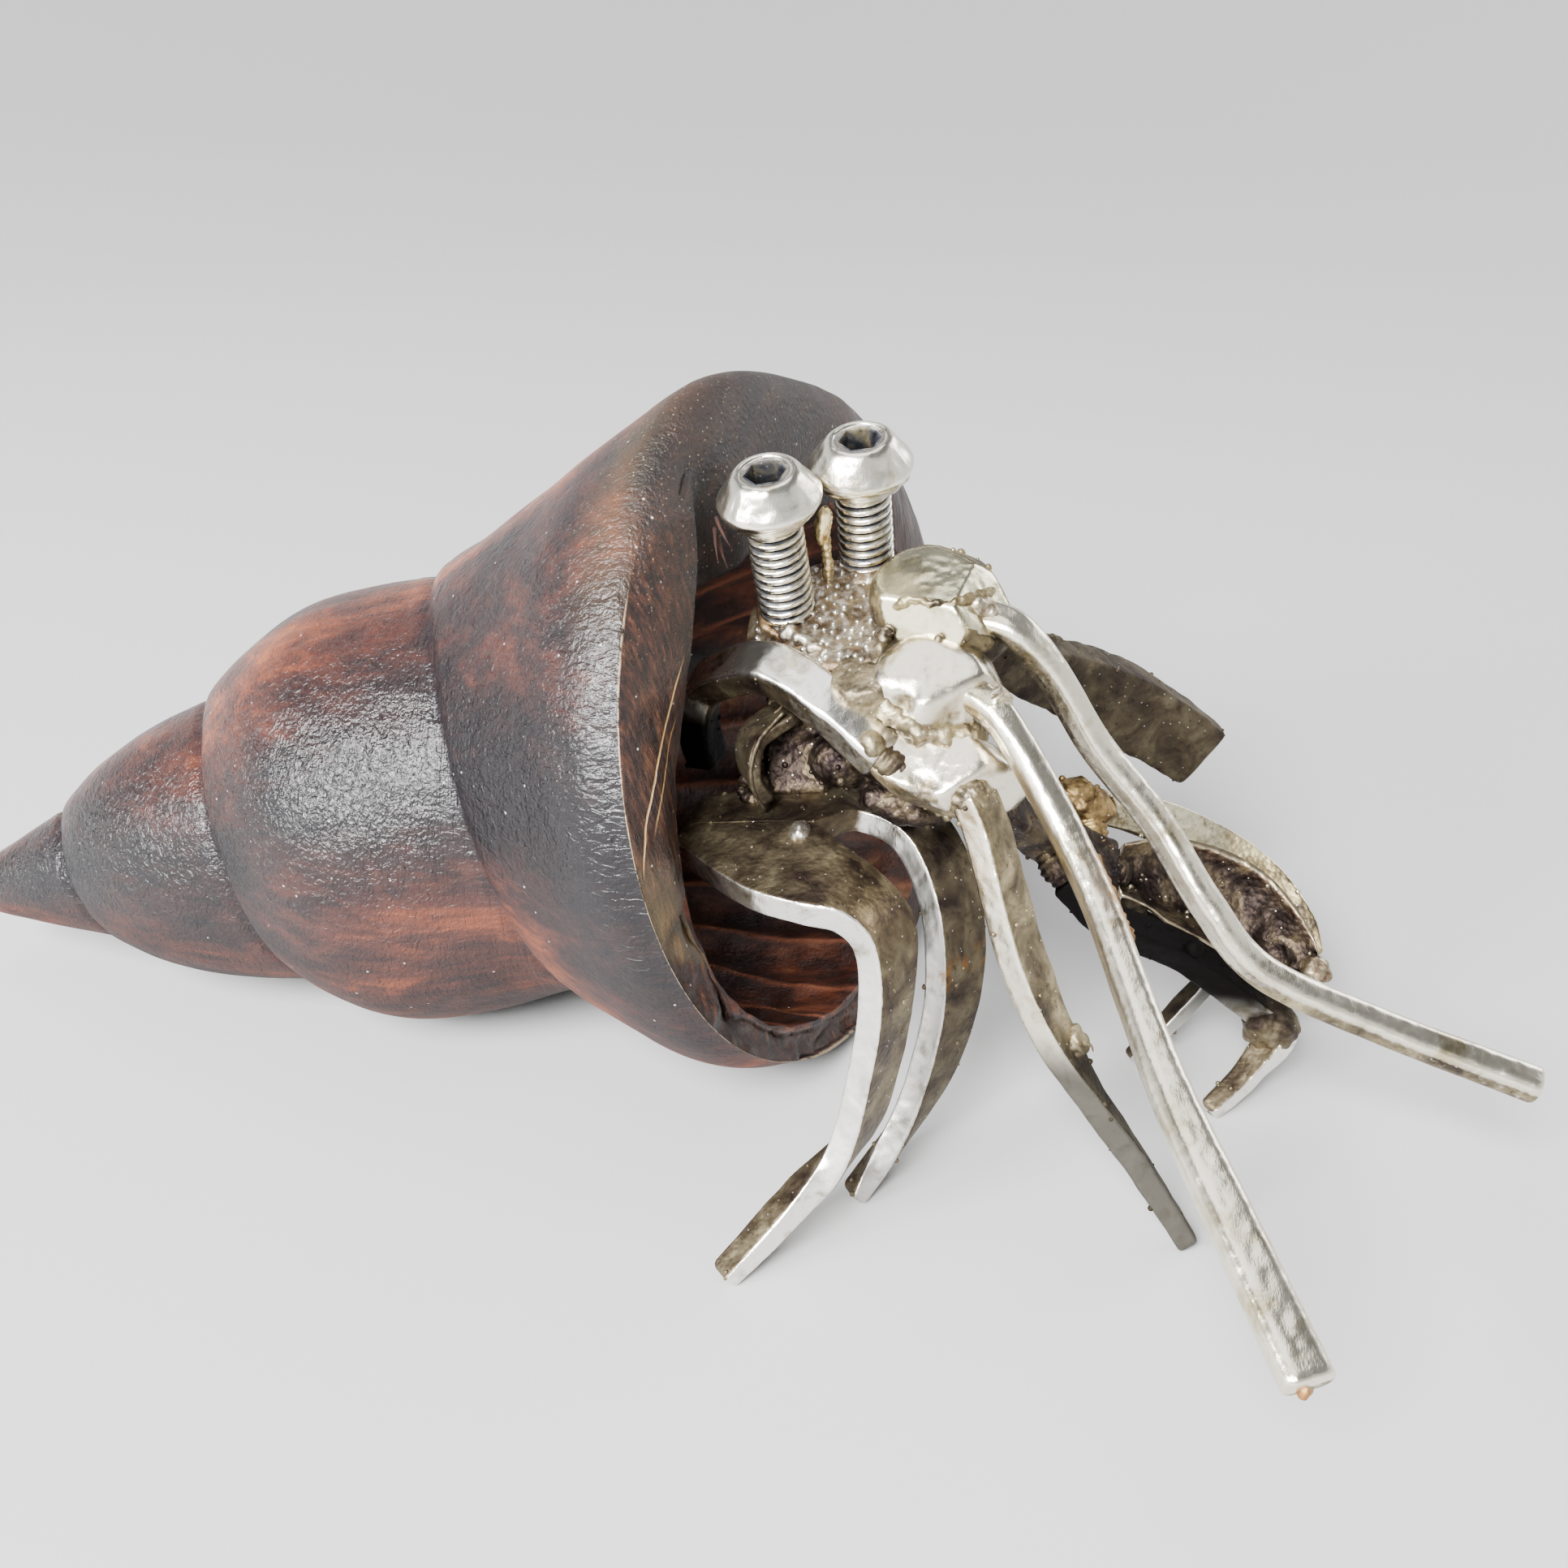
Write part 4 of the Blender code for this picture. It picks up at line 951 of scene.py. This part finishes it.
def make_throat():
    """The arched neck from the shell to the cheeks, and under it a bent strap, a rough wall and a knob."""
    seam = seam_rings(((-18, -6.6, 33.8), (-18.6, -8.2, 32.6), (-18.9, -9.6, 31.6)), 0.9, 44, 0.25)
    marked_bar(
        "arched_neck", "neck_arch", "heat_tinted_steel", TINTED,
        ((-8, 5.4, 26.6, 2.8, 2.4), (-8.6, 6, 30, 2.8, 2.6), (-9.4, 5.3, 33.4, 3, 2.6),
         (-11.2, 2.7, 35.6, 3.2, 2.6), (-13.4, 0.1, 36.8, 3.4, 2.6), (-15.8, -3.5, 35.6, 3.4, 2.6),
         (-18, -7.8, 32.6, 3.2, 2.6)),
        # bright "top" paints a highlight on the neck's upper side, towards the key light.
        (0.9, -0.3, 0.5), bright="top", wear=0.1, seed=11, corner=0.45, spots=30, extra=[seam],
        # Painted shade: the neck blackened below z 30.5, fading out up to z 34, where it reaches down into
        # the shell's mouth.
        counts=(8, 7, 4), soot=(30.5, 34, 1),
    )
    rims = []
    for s in (0, 1.5):
        rim = ((-13.4 + s, -0.7, 33.5), (-15 + s, 1, 31.8), (-16.2 + s, 1.4, 29.4),
               (-16.2 + s, 0.4, 27))
        rims.append(seam_rings(rim, 0.13, 45 + s, 0.04))
    marked_bar(
        "throat_hoop", "throat_strap", "heat_tinted_steel", TINTED,
        ((-12, -1, 33, 2.8, 1), (-13.6, 1.4, 31.6, 2.8, 1), (-14.8, 1.6, 29.4, 2.8, 1),
         (-14.8, 0.4, 27.4, 2.8, 1)),
        # Painted shade: the strap darkened below z 26, fading out up to z 36.
        (0.9, 0.4, 0.1), bright="none", wear=0.05, seed=12, extra=rims, corner=0.2, soot=(26, 36, 0.8),
    )
    collar = loop((-13.9, 1.4, 27.6), (0, 0.9, 0.2), (0, -0.2, 0.9), (0.95, 0.95))
    dark = [
        blob((-15.2, -9.4, 28.2), (3.2, 3.4, 1.8), 0.2, 0.3, 46, 60, 80),
        blob((-13.6, -8, 31), (3, 3.6, 3), 0.2, 0.34, 47, 60, 80),
        seam_rings(collar, 0.42, 48, 0.05),
    ]
    marked_bar(
        "throat_wall", "throat_post", "scaled_steel", SCALED,
        ((-7.8, -1.2, 36.2, 4.6, 2.6), (-9.2, -1.4, 32.6, 4.6, 2.6), (-10.6, -1.6, 29.6, 4.8, 2.8),
         (-12.4, -1.8, 26.4, 5, 2.8)),
        (0.1, 1, 0), bright="none", wear=0.3, seed=13, corner=0.6, spots=50, extra=dark,
        counts=(14, 8, 5),
    )
    marked_lump(
        "throat_knob", "throat_ball", "scaled_steel", SCALED,
        (-13.4, -4.9, 29.8), (2.3, 2.5, 2), (0.2, "Y"), rows=50, columns=64, rough=0.1, seed=14, spots=14,
    )


# ---------------------------------------------------------------- forked sheet

SLOT_KNOT = 3
SHEET_UP = unit(np.array([-0.08, 0.15, 0.98]))
SHEET_THICKNESS = ((0, 3, 7, 9, 10), (2, 2, 2, 1.9, 1.6))
EDGE_ROUNDING = 0.28
SHEET_MIDDLE = ((-15.6, 6.3, 24.6), (-16.4, 3.4, 25.2), (-17, 0.2, 25.8), (-17.6, -3.4, 26.2))
NEAR_LEG_OUTER = (
    (-17.6, 6.6, 24.3), (-21.4, 3.9, 24.7), (-24.9, 0.8, 25.1), (-26.9, -2.6, 25.4), (-27.3, -5.4, 25),
    (-27.4, -7, 22.9), (-28.3, -7.4, 18.6), (-29.3, -6.6, 12.6), (-30.4, -5.4, 7.8), (-32, -3.1, 4.5),
    (-35.2, 1.4, 0.45),
)
NEAR_LEG_INNER = SHEET_MIDDLE + (
    (-20.5, -6.7, 25.4), (-22.6, -9.5, 22.9), (-23.7, -9.8, 18.6), (-24.9, -9, 12.6), (-26.8, -7.2, 7.8),
    (-29.6, -2.5, 4.5), (-33.6, 2.6, 0.45),
)
FAR_LEG_INNER = SHEET_MIDDLE + (
    (-15.7, -6.3, 25.8), (-16.7, -9.3, 24.9), (-19.3, -11.4, 20.9), (-21.6, -11.9, 14.6), (-23, -10.7, 8.2),
    (-24.4, -9, 3.8), (-26.4, -7.1, 0.4),
)
FAR_LEG_OUTER = (
    (-12.1, 5.4, 24.7), (-11.7, 2.9, 25.3), (-10.9, -0.2, 25.9), (-10.5, -3.5, 26.2), (-10.5, -6.9, 26.4),
    (-11.9, -11.5, 24.9), (-15.3, -14.4, 20.9), (-17.6, -14.9, 14.6), (-19.4, -13.3, 8.2),
    (-21.6, -10.2, 3.8), (-24.8, -6.1, 0.4),
)


def sheet_half_rings(left, right, inner):
    """Half of the forked sheet between two edge paths, square along the line where it joins the other half.

    inner is the edge, "left" or "right", that joins as far as SLOT_KNOT and then swings out round the slot.
    """
    u = rows_along(left, 0.4, 150)
    at = u * (len(left) - 1)
    swing = 0.7 * np.sqrt(np.clip((at - SLOT_KNOT) / 0.5, 0, 1))
    swing = swing * ease(-at, -(SLOT_KNOT + 2), -(SLOT_KNOT + 0.5)) * (1 if inner == "left" else -1)
    edges = []
    for name, knots in (("left", left), ("right", right)):
        path = path_at(knots, at)
        if name == inner:
            knots = np.asarray(knots, float)
            line = np.stack([np.interp(at, np.arange(len(knots)), part) for part in knots.T], axis=1)
            path = np.where((at <= SLOT_KNOT)[:, None], line, path)
            path = path + np.array([1, 0, 0]) * swing[:, None]
        edges.append(path)
    centre, across = (edges[0] + edges[1]) / 2, unit(edges[1] - edges[0])
    half = np.linalg.norm(edges[1] - edges[0], axis=1) / 2
    along = unit(np.gradient(centre, axis=0))
    free = ease(at, SLOT_KNOT, SLOT_KNOT + 1.2)
    through = unit(SHEET_UP * (1 - free)[:, None] + unit(np.cross(along, across)) * free[:, None])
    joint = 0.02 + 0.26 * ease(at, SLOT_KNOT + 0.05, SLOT_KNOT + 0.5)
    radii = (joint, EDGE_ROUNDING) if inner == "left" else (EDGE_ROUNDING, joint)
    half_thick = np.interp(at, *SHEET_THICKNESS) / 2
    return sweep(centre, half, half_thick, across, through, radii, 0.4, 0.055, 21, (16, 6, 4))


def make_sheet():
    """The bent sheet that forks into the two hind legs: bright edges, a knob and a bead on top."""
    near, _, near_nx = sheet_half_rings(NEAR_LEG_OUTER, NEAR_LEG_INNER, "right")
    far, _, far_nx = sheet_half_rings(FAR_LEG_INNER, FAR_LEG_OUTER, "left")
    # Painted highlight: on each half only the edge that faces the camera and the key light is marked ground.
    near_lit_edge = ease(-near_nx, 0.3, 0.75)
    far_lit_edge = ease(-far_nx, 0.3, 0.75) * ease(-far[..., 1], 5, 7.5)
    knob = blob((-18.8, -2.2, 26.9), (1, 0.8, 0.8), 0, 0.08, 51, 24, 30)
    bead = bead_rings((-20.6, -5.2, 26.3), 0.42, 9, 14)
    beads = spatter(near, 60, 0.16, 52, 1 - near_lit_edge) + spatter(far, 60, 0.18, 53, 1 - far_lit_edge)
    rust = 0.9 * near_line(far[..., 2] - 17, 1.2) * (grain(far, 0.8, 5) > 0.25)
    build(
        "forked_sheet", ["fork_sheet"], TINTED, [near, far, knob, bead, *beads],
        {"ground": [near_lit_edge, far_lit_edge, 0.5, 0.6, 0.3], "stain": [0, rust, 0],
         # Painted shade: the far half darkened below z 23, fading out up to z 25.5.
         "soot": [0, 0.4 * ease(-far[..., 2], -25.5, -23), 0]},
        crease=14,
    )


# ---------------------------------------------------------------- legs, feelers and claws

def make_legs():
    """Three legs, as bars along bent paths: a burr half way down the near one, lumps on the far front one."""
    burrs = [
        blob((-25.9, -21.4, 15.2), (1.3, 0.9, 1), 0.4, 0.28, 54, 36, 44),
        thread_rings(((-26.2, -21.8, 15.4), (-27, -22.4, 15.9), (-27.9, -22.5, 16)), 0.16, 55),
    ]
    marked_bar(
        "near_front_leg", "leg_front_near", "ground_steel", GROUND,
        ((-19.6, -13.8, 31, 3.2, 2), (-20.8, -15, 28.6, 3.2, 2), (-22.8, -16.4, 24.4, 3.4, 2),
         (-24.6, -18, 20, 3.4, 2), (-26.2, -20.2, 15.6, 2.8, 2), (-27, -22.9, 11.4, 2.4, 1.8),
         (-27.6, -26.1, 6.8, 2.2, 1.8), (-28.8, -30.4, 0.3, 1.6, 1.6)),
        (*[(0.85, -0.5, 0)] * 4, (0.9, -0.3, 0.2), (0.9, 0.2, 0.4), (0.8, 0.4, 0.4), (0.8, 0.4, 0.4)),
        # Painted shade: the leg blackened below z 13.5, fading out up to z 17.5.
        steps=130, wear=0.07, seed=24, spots=36, extra=burrs, soot=(13.5, 17.5, 0.86),
    )
    knots = [
        blob((-9.2, -39, 5.2), (2.1, 2.2, 2.1), 0.3, 0.24, 56),
        bead_rings((-9.4, -32.2, 12.4), 0.75, 12, 18),
    ]
    marked_bar(
        "far_front_leg", "leg_far_front", "heat_tinted_steel", TINTED,
        ((-9.6, -21.6, 18.2, 2.4, 2), (-9.6, -25.6, 14.6, 2.6, 2.2), (-8.6, -31.2, 11.6, 2.8, 2.2),
         (-8.4, -36.8, 7.6, 3.2, 2.4), (-9, -39.6, 5, 3, 2.2), (-11.4, -37.4, 2.6, 2.2, 1.6),
         (-14.2, -34, 0.4, 1.6, 1.4)),
        # Painted shade: the leg blackened above z 8.5, fading out down to z 4.5.
        (0.9, 0.1, 0.3), steps=120, wear=0.09, seed=25, spots=40, extra=knots, soot=(8.5, 4.5, 1),
    )
    neck = seam_rings(((-5.2, -27.4, 14.6), (-6.2, -27.8, 13.5), (-6.5, -28.4, 12.6)), 0.8, 68, 0.2)
    marked_bar(
        "far_rear_leg", "leg_far_rear", "heat_tinted_steel", TINTED,
        ((-6.6, -27.6, 13.4, 1.8, 1.4), (-5, -31.6, 10, 1.8, 1.4), (-4.6, -34.6, 7, 1.8, 1.4),
         (-5.8, -32.4, 3.8, 1.8, 1.4), (-7.8, -28.6, 0.35, 1.4, 1.2)),
        # Painted shade: the leg blackened above z 6, fading out down to z 1.
        (0.9, 0, 0.2), steps=90, wear=0.06, seed=26, spots=20, extra=[neck], soot=(6, 1, 0.85),
    )


def make_feeler(name, node, knots, side, seed, root, root_seed, drip_height):
    """A rod with a weld seam round its root, a burr at its tip, and a rusty drip about that height."""
    rings, out, _ = bar_rings(knots, side, seed, corner=0.85, steps=200, wear=0.02, counts=(4, 4, 6))
    # Painted highlight: the side that faces up and to the left, towards the lights, is marked ground.
    lit = ease(out[..., 2] + 0.45 * out[..., 1], -0.35, 0.45)
    drip = near_line(rings[..., 2] - drip_height, 2.6) * ease(-out[..., 1], -0.2, 0.5)
    tip = np.asarray(knots[-1][:3]) + (0.25, 0.25, -0.5)
    burr = blob(tip, (0.75, 0.5, 0.6), 0, 0.14, seed, 20, 26)
    build(name, [node], GROUND, [rings, seam_rings(root, 0.8, root_seed, 0.3), burr],
          {"ground": [0.3 + 0.7 * lit, 0.5, 0.2], "stain": [drip, 0.12, 0.9]})


def make_feelers():
    """The two feelers, and a brassy drip along the lower one."""
    make_feeler(
        "upper_feeler", "antenna_upper",
        ((-10.6, -13.6, 40.2, 3, 1.8), (-11.8, -16.6, 39.6, 2.8, 1.9), (-12.4, -19.2, 36.8, 2.25, 2.25),
         (-13.2, -22.6, 31.6, 2.25, 2.25), (-15.4, -27, 26.9, 2.25, 2.25), (-18.6, -30.6, 22.2, 2.25, 2.25),
         (-20.8, -34.6, 18.2, 2.25, 2.25), (-22, -42.8, 14.9, 2.35, 2.25), (-24.2, -53.6, 11.9, 2.5, 2.25)),
        (0.9, -0.4, 0.3), 31, ((-10.4, -13, 40.6), (-11.4, -14.2, 40.9), (-11, -15.4, 39.8)), 61, 99,
    )
    make_feeler(
        "lower_feeler", "antenna_lower",
        ((-15.4, -13, 36.8, 2.6, 2), (-17.8, -15.6, 35.6, 2.25, 2.25), (-21.9, -19.4, 30.7, 2.25, 2.25),
         (-27, -22.1, 26.9, 2.25, 2.25), (-32.8, -24, 23.7, 2.35, 2.25), (-39.2, -25.8, 21.2, 2.6, 2.25),
         (-46.2, -28.3, 18.6, 2.9, 2.1), (-54.8, -31.6, 15, 3.2, 1.9)),
        (0.6, -0.8, 0.2), 33, ((-16, -14.6, 36.6), (-17.4, -15.4, 36.4), (-18, -14.6, 35)), 62, 28.2,
    )
    drip = ((-23.6, -20.9, 29.4), (-25, -22.2, 28), (-27.2, -23.2, 26.4), (-29, -23.8, 25.2))
    build("feeler_braze", [], BRASSY, [seam_rings(drip, 0.5, 63, 0.2)],
          {"ground": [0.2], "stain": [0.5]})


def finger_rings(knots, opens, thick, crumple, seed):
    """A cupped blade and its ground mark: its section is a parabola that opens one way, closed by a back.

    The knots are (x, y, z, half width), and the length of opens is the depth of the cup.
    """
    steps = 90
    path = path_at(knots, np.linspace(0, len(knots) - 1, steps))
    centre, half = path[:, :3], path[:, 3:4]
    along = unit(np.gradient(centre, axis=0))
    opens = np.asarray(opens, float)
    lift = unit(opens - along * (along @ opens)[:, None])
    wide = np.cross(along, lift)
    u = np.linspace(-1, 1, 17)
    rise = np.linalg.norm(opens) * half / half.max()
    inner = np.stack([centre + wide * half * s + lift * rise * s * s for s in u], axis=1)
    rim = 1 - np.abs(u) ** 6
    creases = grain(inner, 1.2, seed) + 0.5 * grain(inner, 0.6, seed + 1)
    inner = inner + lift[:, None] * (creases * crumple * rim)[..., None]
    outer = inner - lift[:, None] * (thick * (0.45 + 0.55 * rim))[None, :, None]
    ground = np.concatenate([ease(np.abs(u), 0.84, 0.96), ease(np.abs(u[::-1]), 0.88, 0.98)])
    return np.concatenate([inner, outer[:, ::-1]], axis=1), np.tile(ground, (steps, 1))


def make_claw_arm():
    """The large claw's arm and the brazed knuckle on it, with the weld necks that hold legs and fingers."""
    necks = [
        seam_rings(((-4.9, -24.8, 17), (-4.3, -26.2, 15.9), (-3.9, -27.4, 15.1)), 1.1, 64, 0.22),
        seam_rings(((-8, -20, 20.4), (-9, -21, 19.2), (-9.5, -22.2, 17.6)), 1, 65, 0.22),
    ]
    marked_bar(
        "claw_wrist", "claw_arm", "scaled_steel", SCALED,
        ((-15.6, -14.2, 29, 3.4, 2.6), (-11, -16.8, 25, 3.6, 2.8), (-7.4, -20.6, 20.6, 3.8, 3),
         (-4.6, -25.6, 16.6, 4.2, 3)),
        (0.5, 0.3, 0.8), bright="none", wear=0.22, seed=41, corner=0.6, spots=50, extra=necks,
    )
    necks = [
        seam_rings(((-5, -24.6, 17.9), (-3.8, -24.2, 19.6), (-2.6, -23.8, 21)), 1, 66, 0.22),
        seam_rings(((-2, -24.2, 20.8), (-0.9, -25, 19.9), (-0.1, -26.2, 19.1)), 0.9, 67, 0.22),
    ]
    marked_lump(
        "brazed_knuckle", "claw_knuckle", "brassy_weld", BRASSY, (-2.4, -23.6, 21.2), (1.9, 2.6, 1.6),
        (0.5, "X"), rows=50, columns=64, rough=0.18, seed=42, spots=12, extra=necks,
    )


def make_fingers():
    """The large claw's fingers: a crumpled cup below, and a straw-coloured blade curving over it."""
    rings, ground = finger_rings(
        ((-4, -26.4, 15.6, 2.2), (-3.2, -30.6, 14, 3.6), (-3.6, -36, 11.8, 3.8),
         (-5.6, -40.6, 9.2, 2.4), (-6.8, -42.6, 8.4, 0.8)),
        (-1.4, 0.4, 1.8), 0.9, 0.34, 43,
    )
    beads = spatter(rings, 40, 0.22, 43, 1 - ground)
    tip = blob((-6.6, -42.4, 8.9), (1.4, 1.3, 0.9), 0.2, 0.2, 49, 36, 44)
    build("lower_finger", ["claw_lower_finger"], SCALED, [rings, tip, *beads],
          {"ground": [ground, 0.5], "stain": [0.3 * ground, 0.2, 0]})
    rings, out, nx = bar_rings(
        ((-0.4, -25.4, 19.4, 2.6, 1.2), (0.8, -29.4, 18, 3.4, 1.2), (1.6, -34.6, 15.3, 3.8, 1.2),
         (0.6, -39, 12.8, 3.4, 1.2), (-2, -41.8, 10.6, 2.4, 1.2), (-3.9, -43.1, 8.4, 1.4, 1.2)),
        ((0.4, 0, 1), (0.5, 0, 1), (0.6, 0, 1), (0.6, -0.3, 0.8), (0.5, -0.6, 0.6), (0.4, -0.6, 0.6)),
        44, steps=100, wear=0.07, counts=(14, 5, 4), corner=0.2,
    )
    brushed_top = 0.62 * ease(out[..., 2], 0.1, 0.5) * ease(rings[..., 1], -41.5, -33)
    edge = np.maximum(ease(nx, 0.3, 0.75), brushed_top)
    beads = spatter(rings, 24, 0.24, 44, 1 - edge)
    # Painted shade: the underside of the blade blackened.
    build("upper_finger", ["claw_upper_finger"], STRAW, [rings, *beads],
          {"ground": [edge, 0.6], "soot": [0.8 * ease(-out[..., 2], -0.2, 0.4), 0]})


def make_far_claw():
    """The block of the far claw, with a ragged seam along its top edge."""
    seam = seam_rings(
        ((-8.6, -12.6, 39), (-4.6, -15.4, 36.6), (-0.4, -18.8, 34.2), (5, -23.6, 30.6),
         (9.6, -29.4, 26.2), (11.2, -34.4, 21.8)),
        0.34, 58, 0.24,
    )
    marked_bar(
        "far_claw", "far_claw_block", "scaled_steel", TINTED,
        ((-7.8, -13.2, 37.2, 3, 2.4), (-1.2, -18.4, 32.2, 4.6, 2.8), (4, -23.4, 28.2, 6, 3.4),
         (7.4, -29, 24, 6.4, 3.6), (9.6, -34.2, 19.8, 5.8, 3.4)),
        (0.1, -0.6, 0.9), bright="none", steps=110, wear=0.14, seed=45, corner=0.4, spots=60, extra=[seam],
        # Painted shade: the whole block darkened by half.
        soot=(60, 70, 0.5), counts=(16, 8, 4),
    )


# ---------------------------------------------------------------- stage

SUBJECT = np.array([0, 0, 0.02])
LIGHTS = (
    ("key", (-0.54, 0.2, 0.5), 0.36, 27), ("side", (-0.4, 0.54, 0.34), 0.24, 8),
    ("top", (0.1, 0.1, 1.1), 1, 7), ("rim", (0.45, -0.55, 0.35), 0.3, 1.5),
)
BELOW_FEET = 0.00003
WALL_REACH = (0.15, 0.35, 0.5, 0.66, 0.82, 0.95, 1.04, 1.09, 1.11)
WALL_RISE = (0, 0, 0.01, 0.05, 0.13, 0.26, 0.42, 0.62, 0.88)


def area_light(name, stands, size, power):
    """A round soft light, in metres and watts, that faces the figure."""
    lamp = bpy.data.lights.new(name, "AREA")
    lamp.shape, lamp.size, lamp.energy = "DISK", size, power
    obj = bpy.data.objects.new(name, lamp)
    bpy.context.scene.collection.objects.link(obj)
    obj.location = stands
    obj.rotation_mode = "QUATERNION"
    obj.rotation_quaternion = Vector(SUBJECT - stands).to_track_quat("-Z", "Y")


def make_stage():
    """A pale floor that curves up into a low wall all round, in metres, with the world and the lights."""
    reach, rise = (np.array(part)[:, None] for part in (WALL_REACH, WALL_RISE))
    turn = turns_of(96)
    rings = np.stack([reach * np.cos(turn), reach * np.sin(turn), rise - BELOW_FEET + 0 * turn], axis=-1)
    quads, fans = ring_faces(len(reach), turn.size, 0)
    points = np.vstack([rings.reshape(-1, 3), [[0, 0, -BELOW_FEET]]])
    mesh = bpy.data.meshes.new("floor")
    mesh.from_pydata(points.tolist(), [], quads.tolist() + fans[:turn.size].tolist())
    mesh.flip_normals()
    f = Finish("pale_floor")
    height = f.node("ShaderNodeSeparateXYZ", None, {0: f.spot}, "Z")
    pale = f.blend(f.step(height, 10, 300), (0.46, 0.46, 0.46), (0.62, 0.62, 0.62))
    floor = shown("floor", mesh, f.done(Base_Color=pale, Roughness=0.9))
    floor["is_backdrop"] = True
    world = bpy.data.worlds.new("studio")
    world.use_nodes = True
    sky = world.node_tree.nodes["Background"].inputs
    sky["Color"].default_value = (0.55, 0.57, 0.6, 1)
    sky["Strength"].default_value = 0.3
    bpy.context.scene.world = world
    for name, stands, size, power in LIGHTS:
        area_light(name, np.array(stands), size, power)


def make_camera():
    lens = bpy.data.cameras.new("camera")
    lens.sensor_width, lens.lens, lens.clip_start, lens.clip_end = 36, 38.96, 0.005, 20
    camera = bpy.data.objects.new("camera", lens)
    bpy.context.scene.collection.objects.link(camera)
    camera.location = (np.array([-120.4, -8.2, 86]) + CENTRE) * MM
    camera.rotation_euler = (math.radians(61.5), 0, math.radians(-86))
    bpy.context.scene.camera = camera


make_camera()
make_stage()
carved_shell()
splinters()
make_eyes()
make_plate()
make_crest()
make_cheeks()
make_throat()
make_sheet()
make_legs()
make_feelers()
make_claw_arm()
make_fingers()
make_far_claw()
